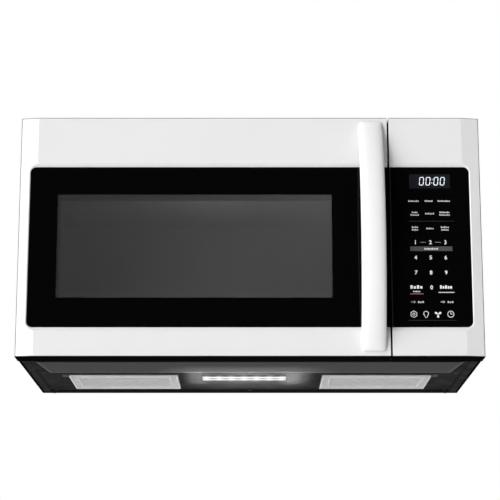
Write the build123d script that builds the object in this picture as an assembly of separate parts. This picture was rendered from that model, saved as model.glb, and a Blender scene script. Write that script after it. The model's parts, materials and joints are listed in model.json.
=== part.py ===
from build123d import *
import math
import os

# An over the range microwave with its ventilation blower, in millimetres.
# Origin: middle of the rear face's bottom edge. X runs right seen from the front,
# Y runs back to the wall, Z up. The front faces -Y.

# Cabinet
cabinet_width = 756
cabinet_height = 416
cabinet_depth = 339  # wall to the frame that the door closes on
case_sheet = 1.2

# Door and control panel
front_overhang = 1.5  # past the cabinet at each end
top_reveal = 15  # door top to cabinet top
door_thickness = 46
door_gap = 2
control_width = 151.2
seam_gap = 3
facet_width = 29.5
facet_setback = 5
front_wall = 3
edge_round = 1.2
fine_sides = 24  # flat sides of the larger round bodies inside
coarse_sides = 12  # and of the smaller ones
pillar_half = 4
pillar_inset = 40
screw_clearance_radius = 2.3

# Black glass in its recess
glass_left_margin = 17.5
glass_right_margin = 18.5
glass_bottom = 47.6
glass_top_margin = 84.7
glass_round = 9.5
glass_thickness = 4
glass_clearance = 0.3
recess_depth = 3
recess_slope = 4.5
recess_lip = 2.4
recess_lip_depth = 0.7
ledge_wall = 3

# Window in the door
window_left_margin = 46.3
window_right_margin = 92.6
window_bottom_margin = 48.9
window_top_margin = 46.8
window_frame_margin = 12

# Handle
handle_width = 40
handle_thickness = 15
handle_crown = 7.5
handle_stand = 48
handle_end_stand = 4.5
handle_end_margin = 7
handle_corner = 7
handle_edge = 3
handle_inset = 27.3  # handle centre to the door's seam edge
handle_screw_margin = 15
handle_screw_radius = 2
handle_screw_depth = 8
handle_bore_radius = 2.05

# Door hinges
hinge_inset = 9
hinge_ahead = 12  # axis in front of the cabinet's frame
hinge_end_margin = 14
hinge_arm_width = 12
hinge_arm_sheet = 2.5
hinge_tab_height = 36
hinge_tab_reach = 10
hinge_pin_radius = 3
hinge_pin_length = 14
hinge_pin_play = 0.05
hinge_boss_height = 18

# Choke round the cavity mouth, in the door's rear
choke_sheet = 1.2
choke_edge = 2
choke_ring_width = 18
choke_depth = 14
choke_cover_thickness = 1.5
choke_left_margin = 5
inner_panel_step = 4
mesh_thickness = 0.6
mesh_overlap = 5
inner_window_thickness = 1.9

# Latch
latch_thickness = 3
latch_low = 110
latch_high_margin = 101
latch_travel = 4
latch_plate_front = 21  # ahead of the door's rear face
latch_plate_rear = 9
guide_offset = 60
guide_half_width = 6.5
guide_half_height = 10
guide_wall = 3
spring_length = 25
spring_gap = 5
spring_radius = 3
post_half = 4
post_height = 8
hook_height = 12
hook_reach = 25  # behind the door's rear face
barb_ledge = 9  # strike depth behind the frame
barb_drop = 4
barb_length = 6
barb_lead = 2
hook_nose = 3
strike_play = 0.6
strike_height = 10
strike_overlap = 3
bracket_sheet = 2.5
bracket_gap = 4.5
bracket_margin = 26
bracket_flange = 14
switch_gap = 4
switch_depth = 14
switch_width = 9.5
switch_half_height = 14
plunger_half = 1.5
plunger_bore_depth = 7
plunger_travel = 1.5
plunger_play = 0.1

# Cavity
left_duct = 34
bay_beside_panel = 53.8  # bay width past the control panel's width
rear_gap = 11
cavity_sheet = 1.2
cavity_lamp_margin = 60
lamp_holder = (32, 24, 14)
bulb_radius = 9
bulb_height = 21

# Turntable
tray_margin = 6
tray_thickness = 5
tray_rim_height = 13
tray_flare = 17
tray_lip = 4.5
tray_lip_drop = 1.5
roller_radius = 7
roller_width = 8
roller_play = 0.05
roller_axle_radius = 2
roller_ring_inset = 61.4
roller_angles = (30, 150, 270)
ring_section = 6
hub_radius = 11
hub_height = 9
hub_lobes = 3
lobe_reach = 17
lobe_half = 4
lug_start = 13.5
lug_end = 21
lug_clearance = 2
coupler_shaft_radius = 3.5
coupler_shaft_depth = 10
floor_hole_radius = 6.5
turntable_motor_height = 20
turntable_motor_radius = 25
motor_ear_reach = 32
motor_ear_half = 7
motor_ear_sheet = 1.2
terminal_half = 9
terminal_reach = 33
terminal_height = 8
run_gap = 0.3

# Base and what it carries
base_sheet = 1.2
rim_width = 14
field_rise = 3
field_front_margin = 52  # behind the front plane
raised_front_margin = 62
raised_rear_gap = 43.5  # to the filters' front edge
raised_front_side = 25.8
raised_rear_side = 36.8
filter_width = 188
filter_depth = 145.5
filter_thickness = 9
filter_rear_margin = 32
filter_side_margin = 65
filter_drop = 2  # below the field's underside
filter_play = 0.75
filter_border = 11
filter_rear_border = 14
filter_pocket = 2.5
filter_tab_half = 9
filter_tab_offset = 0.34  # of the filter's width
filter_tab_drop = 1.4
filter_tab_span = (2, 9)
lamp_left_gap = 39
lamp_right_gap = 59
lamp_depth = 52.8
lamp_height = 20
lamp_flange = 3
lens_flange_thickness = 1.2
lens_drop = 1.5
lamp_housing_margin = 2
lamp_ledge = 15
lamp_board_rise = 9
board_thickness = 1.6
lamp_board_margin = (4, 12)
led_pitch = 21.8
led_half = 2.5
led_height = 1.2
plenum_gap = 24.6
bay_floor_rise = 34
tray_flange = 14
foot_radius = 4.5
foot_drop = 2
foot_inset = 21
screw_radius = 4
screw_head = 1.4
base_screw_inset = 24
base_screw_gap = 14
top_screw_inset = 40
top_screw_margin = 10

# Blower and its duct
duct_width = 254
duct_depth = 83
duct_play = 1
motor_bay = 86
wheel_radius = 38
wheel_disc = 2
wheel_ring = 3
wheel_gap = 5
wheel_hub_radius = 9
wheel_hub_length = 14
blade_depth = 8
blade_count = 8
blade_sheet = 1.4
blade_angle = 30
scroll_gap = 8
scroll_wall = 1.6
shaft_hole_radius = 9
outlet_rise = 15.6
blower_rear_margin = 63
blower_shaft_radius = 4
blower_motor_radius = 34
blower_motor_gap = 7
cradle_half = 22
cradle_depth_half = 16
housing_foot = 2.5
housing_foot_half = 36
shaft_play = 0.05

# Cooling fan
fan_radius = 52
fan_blades = 5
fan_y = -78
fan_half_depth = 9
fan_hub_radius = 14
fan_blade_chord = 34
fan_blade_sheet = 1.6
fan_blade_pitch = 32
fan_blade_root = 8
fan_shaft_radius = 2.5
fan_shaft_length = 34
fan_motor_front = 26  # behind the fan's middle
fan_motor_depth = 18
fan_motor_half = 30
fan_motor_top = 24
fan_motor_bottom = 32
fan_bearing_half = 11
fan_bearing_reach = 10
fan_coil_half = 17
fan_coil_reach = 6
fan_coil_height = 16
fan_bracket_sheet = 1.6
fan_bracket_half = 12
fan_bracket_drop = 4
fan_bracket_foot = 18
intake_rows = 7
intake_pitch = 11
intake_half_width = 34
intake_half_height = 2.5

# Microwave power
magnetron_drop = 55  # below the cavity's top
magnetron_rear_margin = 155
aperture_half = (35, 25)
mica_thickness = 0.8
mica_half = (48, 36)
guide_length = 35
guide_half = (45, 38)
antenna_radius = 8
antenna_hole_radius = 12
antenna_length = 20
mount_plate = 2
mount_plate_half = 45
yoke_length = 52
yoke_half = (32, 38)
anode_half = 20
fin_count = 4
fin_pitch = 9
fin_start = 12
fin_sheet = 1
filter_box = (38, 28, 24)
transformer_y = -110
core_half = (48, 30)
core_height = 80
core_foot_half = 58
core_foot_sheet = 2
core_window_offset = 24
core_window_half = (10, 26)
coil_half_depth = 46
coil_corner = 8
capacitor_offset = 34
capacitor_span = (-265, -170)
capacitor_radius = 17
capacitor_half_flat = 12
capacitor_rise = 18
terminal_pitch = 9
terminal_blade = (3, 8, 0.5)
clamp_y = -217
clamp_half = 7
clamp_sheet = 1.6
diode_offset = 80
diode_y = -190
diode_radius = 3.5
diode_half = 12
diode_post = (5, 1, 16)
supply_board_half = 45
supply_board_top = 30
supply_board_bottom = 86
standoff_height = 10
standoff_half = 3
standoff_inset = 5
supply_choke = (20, 15, 12.4)
supply_capacitor = (22, 12, 18.4)

# Control electronics
opening_side = (14, 12)
opening_bottom = 12
opening_top = 9
board_gap = 3
board_overlap = 9
board_bottom = 20
board_top = 20
board_pillar_inset = 5
board_pillar_margin = 30
relay_pitch = 30
relay_count = 3
relay_size = (20, 16, 18)
relay_offset = (15, 20)
board_transformer = (35, 22, 30)
board_transformer_offset = (60, 25)
connector_size = (70, 8, 10)
connector_offset = (20, 60)
display_side = (30, 26)
display_drop = (40, 11)

# Mounting
bolt_side_margin = 48
bolt_hole_radius = 3.2
bolt_rear_margin = 155
strap_half = 17
strap_front_gap = 25  # behind the vent grille
strap_rear_margin = 65
strap_sheet = 3
nut_radius = 8
nut_height = 9
hook_slot_side_margin = 98
hook_slot_length = 30
hook_slot_width = 8
hook_slot_height = 20
bushing_bore_radius = 4.5
bushing_wall = 3
bushing_flange = 3
bushing_flange_height = 1.5
bushing_length = 10
bushing_inset = 76
bushing_rear_margin = 30

# Vent grille and its charcoal filter
grille_depth = 69
grille_slope_depth = 49
grille_lip = 2.5
grille_wall = 2.2
grille_bays = 8
grille_slots = 4
grille_margin = 6
grille_slot_inset = 9
grille_slot_width = 5
grille_slot_tilt = 35
grille_rib_half = 1
grille_rib_height = 4
charcoal_side_margin = 116.8
charcoal_thickness = 8
charcoal_margin = 5
charcoal_offset = 4

# Places worked out from the sizes above
case_half = cabinet_width / 2
inner_half = case_half - case_sheet
front_half = case_half + front_overhang
front_height = cabinet_height - top_reveal
roof_under = cabinet_height - case_sheet
frame_y = -cabinet_depth
frame_rear_y = frame_y + case_sheet
door_rear_y = frame_y - door_gap
front_y = door_rear_y - door_thickness
seam_x = front_half - control_width
door_right = seam_x - seam_gap / 2
panel_left = seam_x + seam_gap / 2
glass_y = front_y + recess_depth
ledge_y = glass_y + glass_thickness
ledge_rear_y = ledge_y + ledge_wall
board_y = ledge_rear_y + board_gap
glass_left = glass_left_margin - front_half
glass_right = front_half - glass_right_margin
glass_top = front_height - glass_top_margin
window_x = (glass_left + window_left_margin, door_right - window_right_margin)
window_z = (glass_bottom + window_bottom_margin, glass_top - window_top_margin)
handle_x = door_right - handle_inset
handle_screw_heights = (
    handle_end_margin + handle_screw_margin,
    front_height - handle_end_margin - handle_screw_margin,
)
hinge_x = hinge_inset - front_half
hinge_y = frame_y - hinge_ahead
hinge_low = hinge_end_margin
hinge_high = front_height - hinge_end_margin - hinge_arm_sheet
choke_left = hinge_inset + choke_left_margin - front_half
latch_heights = (latch_low, front_height - latch_high_margin)
latch_y = (door_rear_y - latch_plate_front, door_rear_y - latch_plate_rear)
spring_high = latch_low - hook_height / 2 - spring_gap
spring_low = spring_high - spring_length
hook_tip_y = door_rear_y + hook_reach
switch_y = (hook_tip_y + switch_gap, hook_tip_y + switch_gap + switch_depth)
bracket_x = handle_x + latch_thickness / 2 + bracket_gap
opening_x = (panel_left + opening_side[0], glass_right - opening_side[1])
opening_z = (glass_bottom + opening_bottom, glass_top - opening_top)
field_top = field_rise + base_sheet
lamp_top = field_top + lamp_height
floor_under = lamp_top + plenum_gap + turntable_motor_height
floor_z = floor_under + cavity_sheet
volute_radius = wheel_radius + scroll_gap
roof_outer = roof_under - 2 * volute_radius - outlet_rise
roof_z = roof_outer - cavity_sheet
bay_width = control_width + bay_beside_panel
cavity_x = (left_duct - inner_half, inner_half - bay_width)
cavity_y = (frame_rear_y, -rear_gap - cavity_sheet)
bay_left = cavity_x[1] + cavity_sheet
bay_floor = bay_floor_rise + base_sheet
turntable_x = sum(cavity_x) / 2
turntable_y = (frame_y + cavity_y[1]) / 2
cavity_across = cavity_x[1] - cavity_x[0]
cavity_along = cavity_y[1] - frame_y
tray_radius = min(cavity_across, cavity_along) / 2 - tray_margin
roller_ring_radius = tray_radius - roller_ring_inset
roller_z = floor_z + run_gap + roller_radius
tray_z = roller_z + roller_radius + run_gap
filter_x = case_half - filter_side_margin - filter_width / 2
filter_rear_y = -filter_rear_margin
filter_front_y = filter_rear_y - filter_depth
filter_z = field_rise - filter_drop
lamp_x = (lamp_left_gap + filter_width / 2 - filter_x, filter_x - filter_width / 2 - lamp_right_gap)
lamp_y = (filter_front_y, filter_front_y + lamp_depth)
raised_y = (front_y + raised_front_margin, filter_front_y - raised_rear_gap)
duct_y = (-blower_rear_margin - duct_depth, -blower_rear_margin)
blower_y = duct_y[0] + volute_radius
blower_z = roof_outer + volute_radius
magnetron_z = roof_z - magnetron_drop
magnetron_y = -magnetron_rear_margin
fan_x = bay_left + bay_width / 2
capacitor_x = bay_left + capacitor_offset
capacitor_z = bay_floor + capacitor_rise
bolt_x = case_half - bolt_side_margin
hook_slot_x = case_half - hook_slot_side_margin
bushing_radius = bushing_bore_radius + bushing_wall
bushing_x = inner_half - bushing_inset
grille_rise = (top_reveal - grille_lip) / grille_slope_depth
charcoal_drop = grille_rib_half + grille_rib_height + run_gap


def block(x, y, z):
    """A box between two limits on each axis."""
    size = [high - low for low, high in (x, y, z)]
    centre = [(high + low) / 2 for low, high in (x, y, z)]
    return Pos(*centre) * Box(*size)


def around(centre, half):
    """The two limits that lie the same way each side of a centre."""
    return (centre - half, centre + half)


def run(start, length):
    """The two limits of a length from a start, either way."""
    return tuple(sorted((start, start + length)))


def grown(limits, amount):
    """Limits moved apart by the amount at each end."""
    return (limits[0] - amount, limits[1] + amount)


def rod(radius, x, y, z):
    """A round bar: the axis that is given as two limits is the one it lies along."""
    if isinstance(x, tuple):
        return Pos(sum(x) / 2, y, z) * Rot(0, 90, 0) * Cylinder(radius, x[1] - x[0])
    if isinstance(y, tuple):
        return Pos(x, sum(y) / 2, z) * Rot(90, 0, 0) * Cylinder(radius, y[1] - y[0])
    return Pos(x, y, sum(z) / 2) * Cylinder(radius, z[1] - z[0])


def prism(radius, sides, x, y, z):
    """A bar with flat sides, placed as a rod is."""
    length = next(limits for limits in (x, y, z) if isinstance(limits, tuple))
    bar = extrude(RegularPolygon(radius, sides), (length[1] - length[0]) / 2, both=True)
    if isinstance(x, tuple):
        return Pos(sum(x) / 2, y, z) * Rot(0, 90, 0) * bar
    if isinstance(y, tuple):
        return Pos(x, sum(y) / 2, z) * Rot(90, 0, 0) * bar
    return Pos(x, y, sum(z) / 2) * bar


def side_profile(points, x):
    """A closed outline of (y, z) points, carried between two limits of X."""
    outline = make_face(Polyline([(x[0], y, z) for y, z in points], close=True))
    return extrude(outline, x[1] - x[0], dir=(1, 0, 0))


def plan_profile(points, z):
    """A closed outline of (x, y) points, carried between two limits of Z."""
    outline = make_face(Polyline([(x, y, z[0]) for x, y in points], close=True))
    return extrude(outline, z[1] - z[0], dir=(0, 0, 1))


def front_rectangle(x, z, y, radius=0):
    """A rectangle that faces the front at depth y, with round corners if asked."""
    plane = Plane((sum(x) / 2, y, sum(z) / 2), x_dir=(1, 0, 0), z_dir=(0, -1, 0))
    width = x[1] - x[0]
    height = z[1] - z[0]
    if radius:
        return plane * RectangleRounded(width, height, radius)
    return plane * Rectangle(width, height)


# Front: door and control panel


def front_body(x, inset=0, depth=0, z=None):
    """The whole front in plan, a facet at each end, kept between two limits of X."""
    half = front_half - inset
    face = front_y + inset + depth
    points = [
        (-half, frame_y),
        (-half, face + facet_setback),
        (-half + facet_width, face),
        (half - facet_width, face),
        (half, face + facet_setback),
        (half, frame_y),
    ]
    z = z or (inset, front_height - inset)
    whole = plan_profile(points, z)
    if not inset:
        edges = whole.edges().filter_by_position(Axis.Y, face - 1, face + facet_setback + 1)
        creases = edges.filter_by(Axis.Z).filter_by_position(Axis.Y, face - 1, face + 1)
        whole = fillet(edges - creases, edge_round)
    return whole & block(x, (front_y - 1, frame_y + 1), z)


def glass_span(extra=0):
    """X and Z limits of the black glass across door and panel, grown by an amount."""
    return grown((glass_left, glass_right), extra), grown((glass_bottom, glass_top), extra)


def glass_recess():
    """The bevelled pocket that the glass lies in, with its lip, across door and panel."""
    edge = glass_span(recess_slope)
    lip = glass_span(recess_slope + recess_lip)
    seat = glass_span(glass_clearance)
    edge_radius = glass_round + recess_slope
    outer = front_rectangle(*lip, front_y, edge_radius + recess_lip)
    middle = front_rectangle(*edge, front_y + recess_lip_depth, edge_radius)
    inner = front_rectangle(*seat, glass_y, glass_round + glass_clearance)
    opening = loft([outer, middle]) + loft([middle, inner])
    return opening + extrude(inner, -glass_thickness)


def glass_sheet(x):
    """The part of the black glass between two limits of X."""
    sheet = extrude(front_rectangle(*glass_span(), glass_y, glass_round), -glass_thickness)
    return sheet & block(x, (glass_y - 1, ledge_y + 1), (0, front_height))


def front_shell(x, rear):
    """A hollow front moulding open at the back, deeper above and below the glass."""
    inner_x = grown(x, -front_wall)
    shell = front_body(x) & block(x, (front_y - 1, rear), (0, front_height))
    behind = front_body(inner_x, front_wall, ledge_rear_y - front_y - front_wall)
    above = (glass_top + recess_slope + 2 * front_wall, front_height - front_wall)
    below = (front_wall, glass_bottom - recess_slope - 2 * front_wall)
    over = front_body(inner_x, front_wall, 0, above)
    under = front_body(inner_x, front_wall, 0, below)
    return shell - behind - over - under - glass_recess()


def door_frame():
    """The door's outer moulding, with its hinge bosses and screw pillars."""
    inner_z = (front_wall, front_height - front_wall)
    shell = front_shell((-front_half, door_right), door_rear_y)
    corner = (hinge_x, door_rear_y - hinge_inset)
    cut = block((-front_half, corner[0]), (corner[1], door_rear_y), (0, front_height))
    outside = rod(hinge_inset, *corner, (0, front_height))
    inside = rod(hinge_inset - front_wall, *corner, inner_z)
    lip = block((corner[0], choke_left), (door_rear_y - front_wall, door_rear_y), inner_z)
    shell = shell - cut + (outside & cut) - (inside & cut) + lip
    boss_x = (-front_half + front_wall / 2, hinge_x + hinge_inset)
    boss_y = (hinge_y - hinge_inset, door_rear_y - front_wall / 2)
    for span in hinge_boss_spans():
        shell += block(boss_x, boss_y, span) - (cut - outside)
        shell -= rod(hinge_pin_radius + hinge_pin_play, hinge_x, hinge_y, grown(span, 1))
    for x, z in door_pillars():
        y = (front_y + front_wall / 2, door_rear_y - choke_sheet)
        shell += block(around(x, pillar_half), y, around(z, pillar_half))
    for z in handle_screw_heights:
        shell -= rod(screw_clearance_radius, handle_x, (front_y - 1, front_y + front_wall + 1), z)
    for slot in hinge_slots():
        shell -= slot
    opening = grown(window_x, window_frame_margin), grown(window_z, window_frame_margin)
    return shell - block(opening[0], (ledge_y - 1, ledge_rear_y + 1), opening[1])


def hinge_boss_spans():
    """Z limits of the lower and upper hinge bosses in the door."""
    low = hinge_low + hinge_arm_sheet + run_gap
    high = hinge_high - run_gap
    return (low, low + hinge_boss_height), (high - hinge_boss_height, high)


def hinge_slots():
    """Room for the fixed hinge arms as the door turns round them."""
    half = hinge_arm_width / 2
    x = (-front_half - 1, hinge_x + half + 2 * run_gap)
    y = (hinge_y - half - hinge_arm_sheet, frame_y)
    return [
        block(x, y, (arm - run_gap, arm + hinge_arm_sheet + run_gap))
        for arm in (hinge_low, hinge_high)
    ]


def door_pillars():
    """X and Z of the pillars that the door's rear sheet screws to."""
    low = glass_bottom / 2
    high = (glass_top + recess_slope + front_height) / 2
    near = choke_left + pillar_inset
    far = handle_x - pillar_inset
    return [(x, z) for x in (near, (near + far) / 2, far) for z in (low, high)]


def door_handle():
    """A bowed bar with a crowned section, turned about an axis behind the door."""
    middle = front_height / 2
    half_chord = middle - handle_end_margin
    rise = handle_stand - handle_end_stand
    outer = (half_chord**2 + rise**2) / (2 * rise)
    centre_y = front_y - handle_stand + outer
    half = handle_width / 2
    inner = outer - handle_thickness
    shoulder = outer - handle_crown
    crown = ThreePointArc((half, shoulder, 0), (0, outer, 0), (-half, shoulder, 0))
    sides = Polyline(
        (-half, shoulder, 0),
        (-half, inner + handle_edge, 0),
        (handle_edge - half, inner, 0),
        (half - handle_edge, inner, 0),
        (half, inner + handle_edge, 0),
        (half, shoulder, 0),
    )
    section = Pos(handle_x, centre_y, middle) * Rot(180, 0, 0) * make_face(crown + sides)
    sweep_half = math.degrees(math.asin(half_chord / inner)) + handle_edge
    axis = Axis((handle_x, centre_y, middle), (1, 0, 0))
    bar = revolve(section.rotate(axis, -sweep_half), axis, 2 * sweep_half)
    z = (handle_end_margin, front_height - handle_end_margin)
    outline = front_rectangle(around(handle_x, half), z, front_y, handle_corner)
    bar = bar & extrude(outline, handle_stand + 1)
    bore_y = (front_y - handle_screw_depth - 2 * run_gap, front_y + 1)
    for z in handle_screw_heights:
        bar -= rod(handle_bore_radius, handle_x, bore_y, z)
    return bar


def handle_screws():
    """Screws from inside the door into the handle's feet."""
    screws = []
    head_y = run(front_y + front_wall, 2 * screw_head)
    for z in handle_screw_heights:
        shank_y = (front_y - handle_screw_depth, head_y[0])
        shank = rod(handle_screw_radius, handle_x, shank_y, z)
        screws.append(shank + prism(screw_radius, 6, handle_x, head_y, z))
    return screws


def choke_ring():
    """Outer and inner X and Z limits of the choke ring."""
    inner = grown(cavity_x, choke_edge), grown((floor_z, roof_z), choke_edge)
    outer = grown(inner[0], choke_ring_width), grown(inner[1], choke_ring_width)
    return outer, inner


def door_choke_frame():
    """The door's rear sheet: sealing face, choke channel and the panel behind the screen."""
    outer, inner = choke_ring()
    sheet_y = (door_rear_y - choke_sheet, door_rear_y)
    sheet_x = (choke_left + run_gap, door_right - front_wall - run_gap)
    sheet_z = (front_wall + run_gap, front_height - front_wall - run_gap)
    sheet = block(sheet_x, sheet_y, sheet_z) - block(outer[0], sheet_y, outer[1])
    channel_y = (door_rear_y - choke_depth, door_rear_y)
    floor_y = (channel_y[0] + choke_sheet, door_rear_y)
    channel = block(grown(outer[0], choke_sheet), channel_y, grown(outer[1], choke_sheet))
    channel -= block(outer[0], floor_y, outer[1]) + block(inner[0], channel_y, inner[1])
    panel_y = run(door_rear_y - inner_panel_step, choke_sheet)
    wall_y = (channel_y[0], panel_y[1])
    wall = block(grown(inner[0], choke_sheet), wall_y, grown(inner[1], choke_sheet))
    wall -= block(inner[0], channel_y, inner[1])
    panel = block(inner[0], panel_y, inner[1]) - block(window_x, panel_y, window_z)
    frame = sheet + channel + wall + panel + latch_guides() + spring_post()
    for z in latch_heights:
        reach = hook_height / 2 + latch_travel + 1
        frame -= block(around(handle_x, latch_thickness), sheet_y, around(z, reach))
    for slot in hinge_slots():
        frame -= slot
    return frame


def latch_guides():
    """Two closed guides that the latch plate slides in."""
    guides = []
    guide_y = (latch_y[0] - guide_wall, door_rear_y - choke_sheet)
    slot_x = around(handle_x, latch_thickness / 2 + run_gap)
    for z in (latch_heights[0] + guide_offset, latch_heights[1] - guide_offset):
        guide = block(around(handle_x, guide_half_width), guide_y, around(z, guide_half_height))
        slot = block(slot_x, grown(latch_y, run_gap), around(z, guide_half_height + 1))
        guides.append(guide - slot)
    return guides


def spring_post():
    """The peg under the latch that anchors its spring."""
    y = (latch_y[0], door_rear_y - choke_sheet)
    top = spring_low - run_gap
    return block(around(handle_x, post_half), y, (top - post_height, top))


def latch_spring():
    """The spring that pulls the latch down, as a plain bar of its outer size."""
    return prism(spring_radius, coarse_sides, handle_x, sum(latch_y) / 2, (spring_low, spring_high))


def latch_hooks():
    """The sliding latch: one plate with two barbed hooks that reach behind the frame."""
    x = around(handle_x, latch_thickness / 2)
    half = hook_height / 2
    plate = block(x, latch_y, (spring_high + run_gap, latch_heights[1] + half))
    catch = frame_rear_y + barb_ledge + strike_play
    for z in latch_heights:
        under = z - half
        points = [
            (latch_y[1] - 1, under),
            (catch, under),
            (catch + barb_lead, under - barb_drop),
            (catch + barb_length, under - barb_drop),
            (hook_tip_y, under + barb_lead),
            (hook_tip_y, z + half - hook_nose),
            (hook_tip_y - hook_nose, z + half),
            (latch_y[1] - 1, z + half),
        ]
        plate += side_profile(points, x)
    return plate


def choke_cover():
    """The plastic ring that closes the choke channel."""
    outer, inner = choke_ring()
    y = (door_rear_y - choke_cover_thickness, door_rear_y)
    ring = block(grown(outer[0], -run_gap), y, grown(outer[1], -run_gap))
    return ring - block(grown(inner[0], run_gap), y, grown(inner[1], run_gap))


def door_mesh():
    """The fine screen on the front of the choke frame's panel."""
    y = run(door_rear_y - inner_panel_step, -mesh_thickness)
    return block(grown(window_x, mesh_overlap), y, grown(window_z, mesh_overlap))


def door_inner_window():
    """The clear sheet on the cavity side of the screen."""
    inner = choke_ring()[1]
    y = run(door_rear_y - inner_panel_step + choke_sheet, inner_window_thickness)
    return block(grown(inner[0], -run_gap), y, grown(inner[1], -run_gap))


def hinge_brackets():
    """Fixed hinge arms with their pins, one low and one high on the cabinet's left."""
    low, high = hinge_boss_spans()
    lower = hinge_bracket(hinge_low, (hinge_low, low[0] + hinge_pin_length), 1)
    top = hinge_high + hinge_arm_sheet
    upper = hinge_bracket(hinge_high, (high[1] - hinge_pin_length, top), -1)
    return [lower, upper]


def hinge_bracket(arm, pin_z, up):
    """One arm, its pin and the tab that screws to the back of the frame."""
    half = hinge_arm_width / 2
    z = (arm, arm + hinge_arm_sheet)
    strap = block(around(hinge_x, half), (hinge_y, frame_rear_y + hinge_arm_sheet), z)
    strap += prism(half, fine_sides, hinge_x, hinge_y, z)
    strap += rod(hinge_pin_radius, hinge_x, hinge_y, pin_z)
    tab_x = (hinge_x - half, hinge_x + half + hinge_tab_reach)
    tab_z = run(z[0] if up > 0 else z[1], up * hinge_tab_height)
    return strap + block(tab_x, run(frame_rear_y, hinge_arm_sheet), tab_z)


# Control panel


def control_panel_frame():
    """The panel's housing, with four pillars that carry the board."""
    shell = front_shell((panel_left, front_half), frame_y)
    shell -= block(opening_x, (ledge_y - 1, ledge_rear_y + 1), opening_z)
    y = (ledge_rear_y - front_wall / 2, board_y)
    for x in grown(opening_x, board_pillar_inset):
        for z in (glass_bottom + board_pillar_margin, glass_top - board_pillar_margin):
            shell += block(around(x, pillar_half), y, around(z, pillar_half))
    return shell


def control_board():
    """The main board behind the panel, with its relays, transformer and connector."""
    x = grown(opening_x, board_overlap)
    z = (glass_bottom + board_bottom, glass_top - board_top)
    face = board_y + board_thickness
    board = block(x, (board_y, face), z)
    for row in range(relay_count):
        corner = (x[0] + relay_offset[0], z[0] + relay_offset[1] + row * relay_pitch)
        board += on_board(corner, relay_size, face)
    corner = (x[0] + board_transformer_offset[0], z[0] + board_transformer_offset[1])
    board += on_board(corner, board_transformer, face)
    corner = (x[0] + connector_offset[0], z[1] - connector_offset[1])
    return board + on_board(corner, connector_size, face)


def on_board(corner, size, face):
    """A part on the board: its corner in (x, z) and its width, depth and height."""
    x = run(corner[0], size[0])
    z = run(corner[1], size[2])
    return block(x, (face - board_thickness / 2, face + size[1]), z)


def display_module():
    """The lit display, between the glass and the board."""
    x = (panel_left + display_side[0], glass_right - display_side[1])
    z = (glass_top - display_drop[0], glass_top - display_drop[1])
    return block(x, (ledge_y, board_y), z)


# Cabinet


def outer_case():
    """The wrapped cover: two sides and a roof, cut for the grille, the duct and the cord."""
    length = (frame_y, -case_sheet)
    shape = block((-case_half, case_half), length, (0, cabinet_height))
    shape -= block((-inner_half, inner_half), length, (-1, roof_under))
    roof = (roof_under - 1, cabinet_height + 1)
    shape -= block((-inner_half, inner_half), (frame_y - 1, frame_y + grille_depth), roof)
    shape -= block(grown(around(0, duct_width / 2), duct_play), grown(duct_y, duct_play), roof)
    for x in (-bolt_x, bolt_x):
        shape -= rod(bolt_hole_radius, x, -bolt_rear_margin, roof)
    shape -= prism(bushing_radius, fine_sides, bushing_x, -bushing_rear_margin, roof)
    corner = [
        (frame_y - 1, front_height + grille_lip),
        (frame_y, front_height + grille_lip),
        (frame_y + grille_slope_depth, cabinet_height),
        (frame_y + grille_slope_depth, cabinet_height + 1),
        (frame_y - 1, cabinet_height + 1),
    ]
    return shape - side_profile(corner, (-case_half - 1, case_half + 1))


def cord_bushing():
    """A flanged bushing in the roof."""
    place = (bushing_x, -bushing_rear_margin)
    top = cabinet_height + bushing_flange_height
    body = prism(bushing_radius, fine_sides, *place, (roof_under - bushing_length, cabinet_height))
    body += prism(bushing_radius + bushing_flange, fine_sides, *place, (cabinet_height, top))
    return body - rod(bushing_bore_radius, *place, (roof_under - bushing_length - 1, top + 1))


def rear_panel():
    """The flat rear sheet with hook slots and the cooling fan's intake slots."""
    panel = block((-case_half, case_half), (-case_sheet, 0), (0, cabinet_height))
    through = (-case_sheet - 1, 1)
    half_height = hook_slot_width / 2
    straight = hook_slot_length / 2 - half_height
    for x in (-hook_slot_x, hook_slot_x):
        slot = block(around(x, straight), through, around(hook_slot_height, half_height))
        for end in around(x, straight):
            slot += rod(half_height, end, through, hook_slot_height)
        panel -= slot
    for row in range(intake_rows):
        z = magnetron_z + (row - (intake_rows - 1) / 2) * intake_pitch
        panel -= block(around(fan_x, intake_half_width), through, around(z, intake_half_height))
    return panel


def base_plate():
    """The pressed underside: a rim, a recessed field and the raised front panel."""
    outer = (-inner_half, inner_half), (frame_rear_y, -case_sheet)
    plate = block(*outer, (0, field_top))
    rim_x = grown(outer[0], -rim_width)
    rim_y = (front_y + field_front_margin, -case_sheet - rim_width / 2)
    plate -= tapered_field(rim_x, rim_y, 0, field_rise, 0) - raised_panel(0)
    hollow = tapered_field(rim_x, rim_y, base_sheet, field_top + 1, base_sheet)
    border = block(*outer, (base_sheet, field_top + 1)) - hollow
    plate -= border + raised_panel(base_sheet)
    through = (-1, field_top + 1)
    for side in (-1, 1):
        plate += block(run(side * inner_half, -side * base_sheet), outer[1], (0, rim_width))
        hole_x = around(side * filter_x, filter_width / 2 + filter_play)
        hole_y = grown((filter_front_y, filter_rear_y), filter_play)
        plate -= block(hole_x, hole_y, through)
    return plate - block(grown(lamp_x, -lamp_flange), grown(lamp_y, -lamp_flange), through)


def tapered_field(x, y, low, high, grow):
    """A shallow block whose sides lean in as they rise."""
    lean = high - low
    bottom = Plane.XY.offset(low) * centred_rectangle(grown(x, grow), grown(y, grow))
    top = Plane.XY.offset(high) * centred_rectangle(grown(x, grow - lean), grown(y, grow - lean))
    return loft([bottom, top])


def centred_rectangle(x, y):
    return Pos(sum(x) / 2, sum(y) / 2) * Rectangle(x[1] - x[0], y[1] - y[0])


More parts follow.
